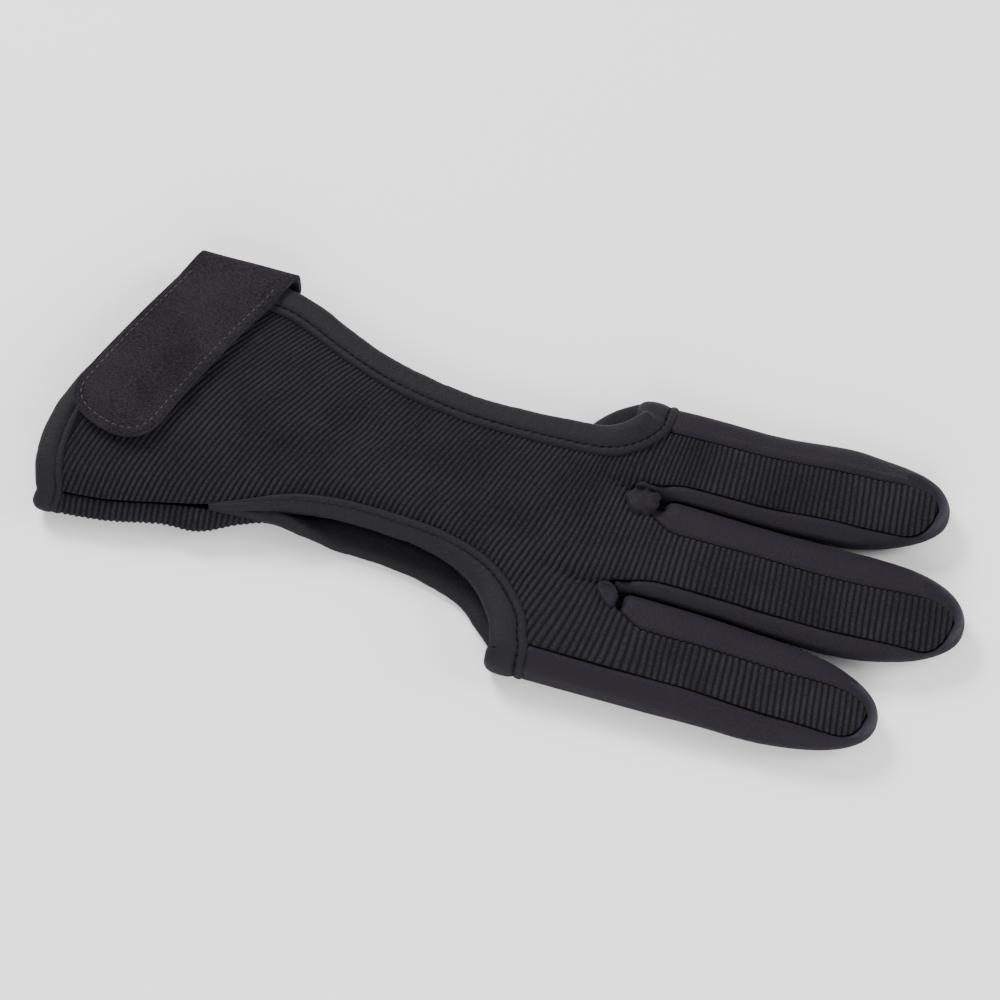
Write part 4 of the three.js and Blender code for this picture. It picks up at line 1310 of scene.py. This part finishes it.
def soft_material(name, group, dark, light, roughness, sheen, specular, bump, speck, crest=None):
    """Matt soft material. dark and light: its mottled colour; speck: share of the fine height in the colour;
    crest: what the colour is multiplied by in the valleys and on the crests, as painted shade in valleys and
    grooves and a painted highlight on crests and rims."""
    material = bpy.data.materials.new(name)
    material.use_nodes = True
    tree = material.node_tree
    shader = tree.nodes["Principled BSDF"]
    effect = add_node(tree, "ShaderNodeGroup")
    effect.node_tree = group
    mottle = add_node(
        tree, "ShaderNodeMath", [(0, effect.outputs["Mottle"]), (1, MOTTLE)], operation="MULTIPLY"
    )
    height = add_node(
        tree, "ShaderNodeMath", [(0, effect.outputs["Height"]), (1, speck), (2, mottle.outputs[0])],
        operation="MULTIPLY_ADD",
    )
    ramp = add_node(tree, "ShaderNodeValToRGB", [("Fac", height.outputs[0])])
    for element, way, colour in zip(ramp.color_ramp.elements, (-1, 1), (dark, light)):
        element.position = (speck + MOTTLE) / 2 + way * SPREAD
        element.color = (*colour, 1)
    colour = ramp.outputs["Color"]
    # Painted shade and highlight: the crest point value scales the colour.
    if crest is not None:
        rib = add_node(tree, "ShaderNodeAttribute", attribute_name="crest")
        shade = add_node(
            tree, "ShaderNodeMapRange",
            [("Value", rib.outputs["Fac"]), ("To Min", crest[0]), ("To Max", crest[1])],
        )
        mix = add_node(tree, "ShaderNodeVectorMath", [(0, colour)], operation="SCALE")
        tree.links.new(shade.outputs["Result"], mix.inputs["Scale"])
        colour = mix.outputs["Vector"]
    tree.links.new(colour, shader.inputs["Base Color"])
    smoothest, roughest = (roughness + change for change in ROUGHNESS_CHANGE)
    rough = add_node(
        tree, "ShaderNodeMapRange",
        [("Value", effect.outputs["Mottle"]), ("To Min", smoothest), ("To Max", roughest)],
    )
    tree.links.new(rough.outputs["Result"], shader.inputs["Roughness"])
    relief = add_node(
        tree, "ShaderNodeBump",
        [("Height", effect.outputs["Height"]), ("Strength", BUMP_STRENGTH), ("Distance", bump)],
    )
    tree.links.new(relief.outputs["Normal"], shader.inputs["Normal"])
    shader.inputs["Sheen Weight"].default_value = sheen
    shader.inputs["Sheen Roughness"].default_value = SHEEN_ROUGHNESS
    shader.inputs["Sheen Tint"].default_value = SHEEN_TINT
    shader.inputs["Specular IOR Level"].default_value = specular
    return material


GRAIN = grain_group()
FIBRE = fibre_group()
# Ribbed cloth colour is scaled by the rib height: painted shade in the valleys, painted highlight on the
# crests.
RIBBED = soft_material(
    "ribbed_fabric", FIBRE, (0.0030, 0.0027, 0.0037), (0.0108, 0.0098, 0.0132), 0.8, 0.015, 0.1, 0.00012, 0.6,
    crest=(0.05, 1.7),
)
# Leather colour is lifted up to three times on the rims round the strips' ends, a painted highlight.
LEATHER = soft_material(
    "finger_leather", GRAIN, (0.0030, 0.0024, 0.0038), (0.0086, 0.0071, 0.0106), 0.62, 0.02, 0.1, 0.0002, 0.4,
    crest=(0.15, 3.0),
)
# Binding colour is darkened in the groove beside the seam, a painted shade.
BINDING = soft_material(
    "binding_tape", GRAIN, (0.0021, 0.0019, 0.0024), (0.0056, 0.0052, 0.0062), 0.64, 0.016, 0.09, 0.0002, 0.4,
    crest=(0.1, 1.7),
)
SUEDE = soft_material(
    "strap_suede", FIBRE, (0.0036, 0.0028, 0.0041), (0.0150, 0.0130, 0.0160), 0.9, 0.045, 0.08, 0.00025, 0.8
)
THREAD = soft_material(
    "thread", FIBRE, (0.0075, 0.0069, 0.0082), (0.0150, 0.0138, 0.0163), 0.5, 0.03, 0.2, 0.00003, 0.2
)
STRAP_THREAD = soft_material(
    "strap_thread", FIBRE, (0.010, 0.009, 0.012), (0.024, 0.021, 0.027), 0.5, 0.04, 0.2, 0.00003, 0.2
)


# The glove
back_piece = dress(back_cloth(), RIBBED, "back_panel", slot="ribbed_fabric")
palm_piece = dress(palm_cloth(), RIBBED, "palm_panel", slot="ribbed_fabric")
leathers = {
    name: dress(finger_leather(name, finger), LEATHER, name + "_finger_leather", slot="finger_leather")
    for name, finger in FINGERS.items()
}
gussets = [
    dress(
        crotch_patch("index_middle_patch", TRIANGLE, 0.7, 0.5, 0.55, 0.25), LEATHER, "index_middle_gusset",
        slot="finger_leather",
    ),
    dress(
        crotch_patch("middle_ring_patch", KNOB, 1.9, 0.3, 0.35, 0.9), LEATHER, "middle_ring_gusset",
        slot="finger_leather",
    ),
]
thumb_tape, thumb_frames = tape("thumb_opening_tape", thumb_opening_stations(), True)
side_tape, side_frames = tape("side_opening_tape", side_opening_stations())
cuff_tape, cuff_frames = tape("cuff_tape", cuff_stations())
dress(thumb_tape, BINDING, "thumb_opening_binding", slot="binding_tape")
dress(side_tape, BINDING, "side_opening_binding", slot="binding_tape")
dress(cuff_tape, BINDING, "cuff_binding", slot="binding_tape")
strap_grid = strap_rows()
strap = dress(wrist_strap(strap_grid), SUEDE, "wrist_strap", slot="strap_suede")

binding_places = [
    *groove_places(thumb_frames),
    *groove_places(side_frames),
    *groove_places(cuff_frames),
]
dress(mesh_object("binding_stitches", *stitch_mesh(binding_places)), THREAD, slot="binding_tape")
dress(mesh_object("strap_stitches", *stitch_mesh(strap_places(strap_grid))), STRAP_THREAD, slot="strap_suede")


# Studio, in metres
FLOOR_HALF = 3.0
FLOOR_DROP = 0.0002
FLOOR_GREY = 0.86
WORLD_STRENGTH = 0.75


def studio():
    floor_mesh = bpy.data.meshes.new("floor")
    corners = [(x * FLOOR_HALF, y * FLOOR_HALF, 0) for x, y in ((-1, -1), (1, -1), (1, 1), (-1, 1))]
    floor_mesh.from_pydata(corners, [], [(0, 1, 2, 3)])
    floor = bpy.data.objects.new("floor", floor_mesh)
    bpy.context.scene.collection.objects.link(floor)
    paint = bpy.data.materials.new("floor_paint")
    paint.use_nodes = True
    shader = paint.node_tree.nodes["Principled BSDF"]
    shader.inputs["Base Color"].default_value = (FLOOR_GREY, FLOOR_GREY, FLOOR_GREY, 1)
    shader.inputs["Roughness"].default_value = 0.9
    floor_mesh.materials.append(paint)
    floor.location.z = -FLOOR_DROP

    world = bpy.data.worlds.new("studio")
    bpy.context.scene.world = world
    world.use_nodes = True
    background = world.node_tree.nodes["Background"]
    background.inputs["Color"].default_value = (1, 1, 1, 1)
    background.inputs["Strength"].default_value = WORLD_STRENGTH

    def softbox(name, place, size, power):
        light = bpy.data.lights.new(name, "AREA")
        light.shape = "RECTANGLE"
        light.size, light.size_y = size
        light.energy = power
        lamp = bpy.data.objects.new(name, light)
        bpy.context.scene.collection.objects.link(lamp)
        lamp.location = place
        lamp.rotation_euler = (-Vector(place)).to_track_quat("-Z", "Y").to_euler()

    softbox("key", (-0.75, 0.6, 0.75), (0.5, 0.4), 22)
    softbox("rim", (0.75, 0.25, 0.45), (0.4, 0.4), 6)
    softbox("fill", (0.15, -0.85, 0.5), (0.8, 0.5), 12)


def camera():
    azimuth, elevation = math.radians(VIEW_AZIMUTH), math.radians(VIEW_ELEVATION)
    level = Vector((-math.sin(azimuth), math.cos(azimuth), 0))
    forward = level * math.cos(elevation) - Vector((0, 0, math.sin(elevation)))
    data = bpy.data.cameras.new("photo_camera")
    data.lens = VIEW_LENS
    made = bpy.data.objects.new("photo_camera", data)
    bpy.context.scene.collection.objects.link(made)
    target = (Vector(VIEW_TARGET) + Vector((OFFSET.x, OFFSET.y, 0))) * 0.001
    made.location = target - forward * VIEW_DISTANCE * 0.001
    made.rotation_euler = forward.to_track_quat("-Z", "Y").to_euler()
    bpy.context.scene.camera = made


studio()
camera()

bpy.context.view_layer.update()
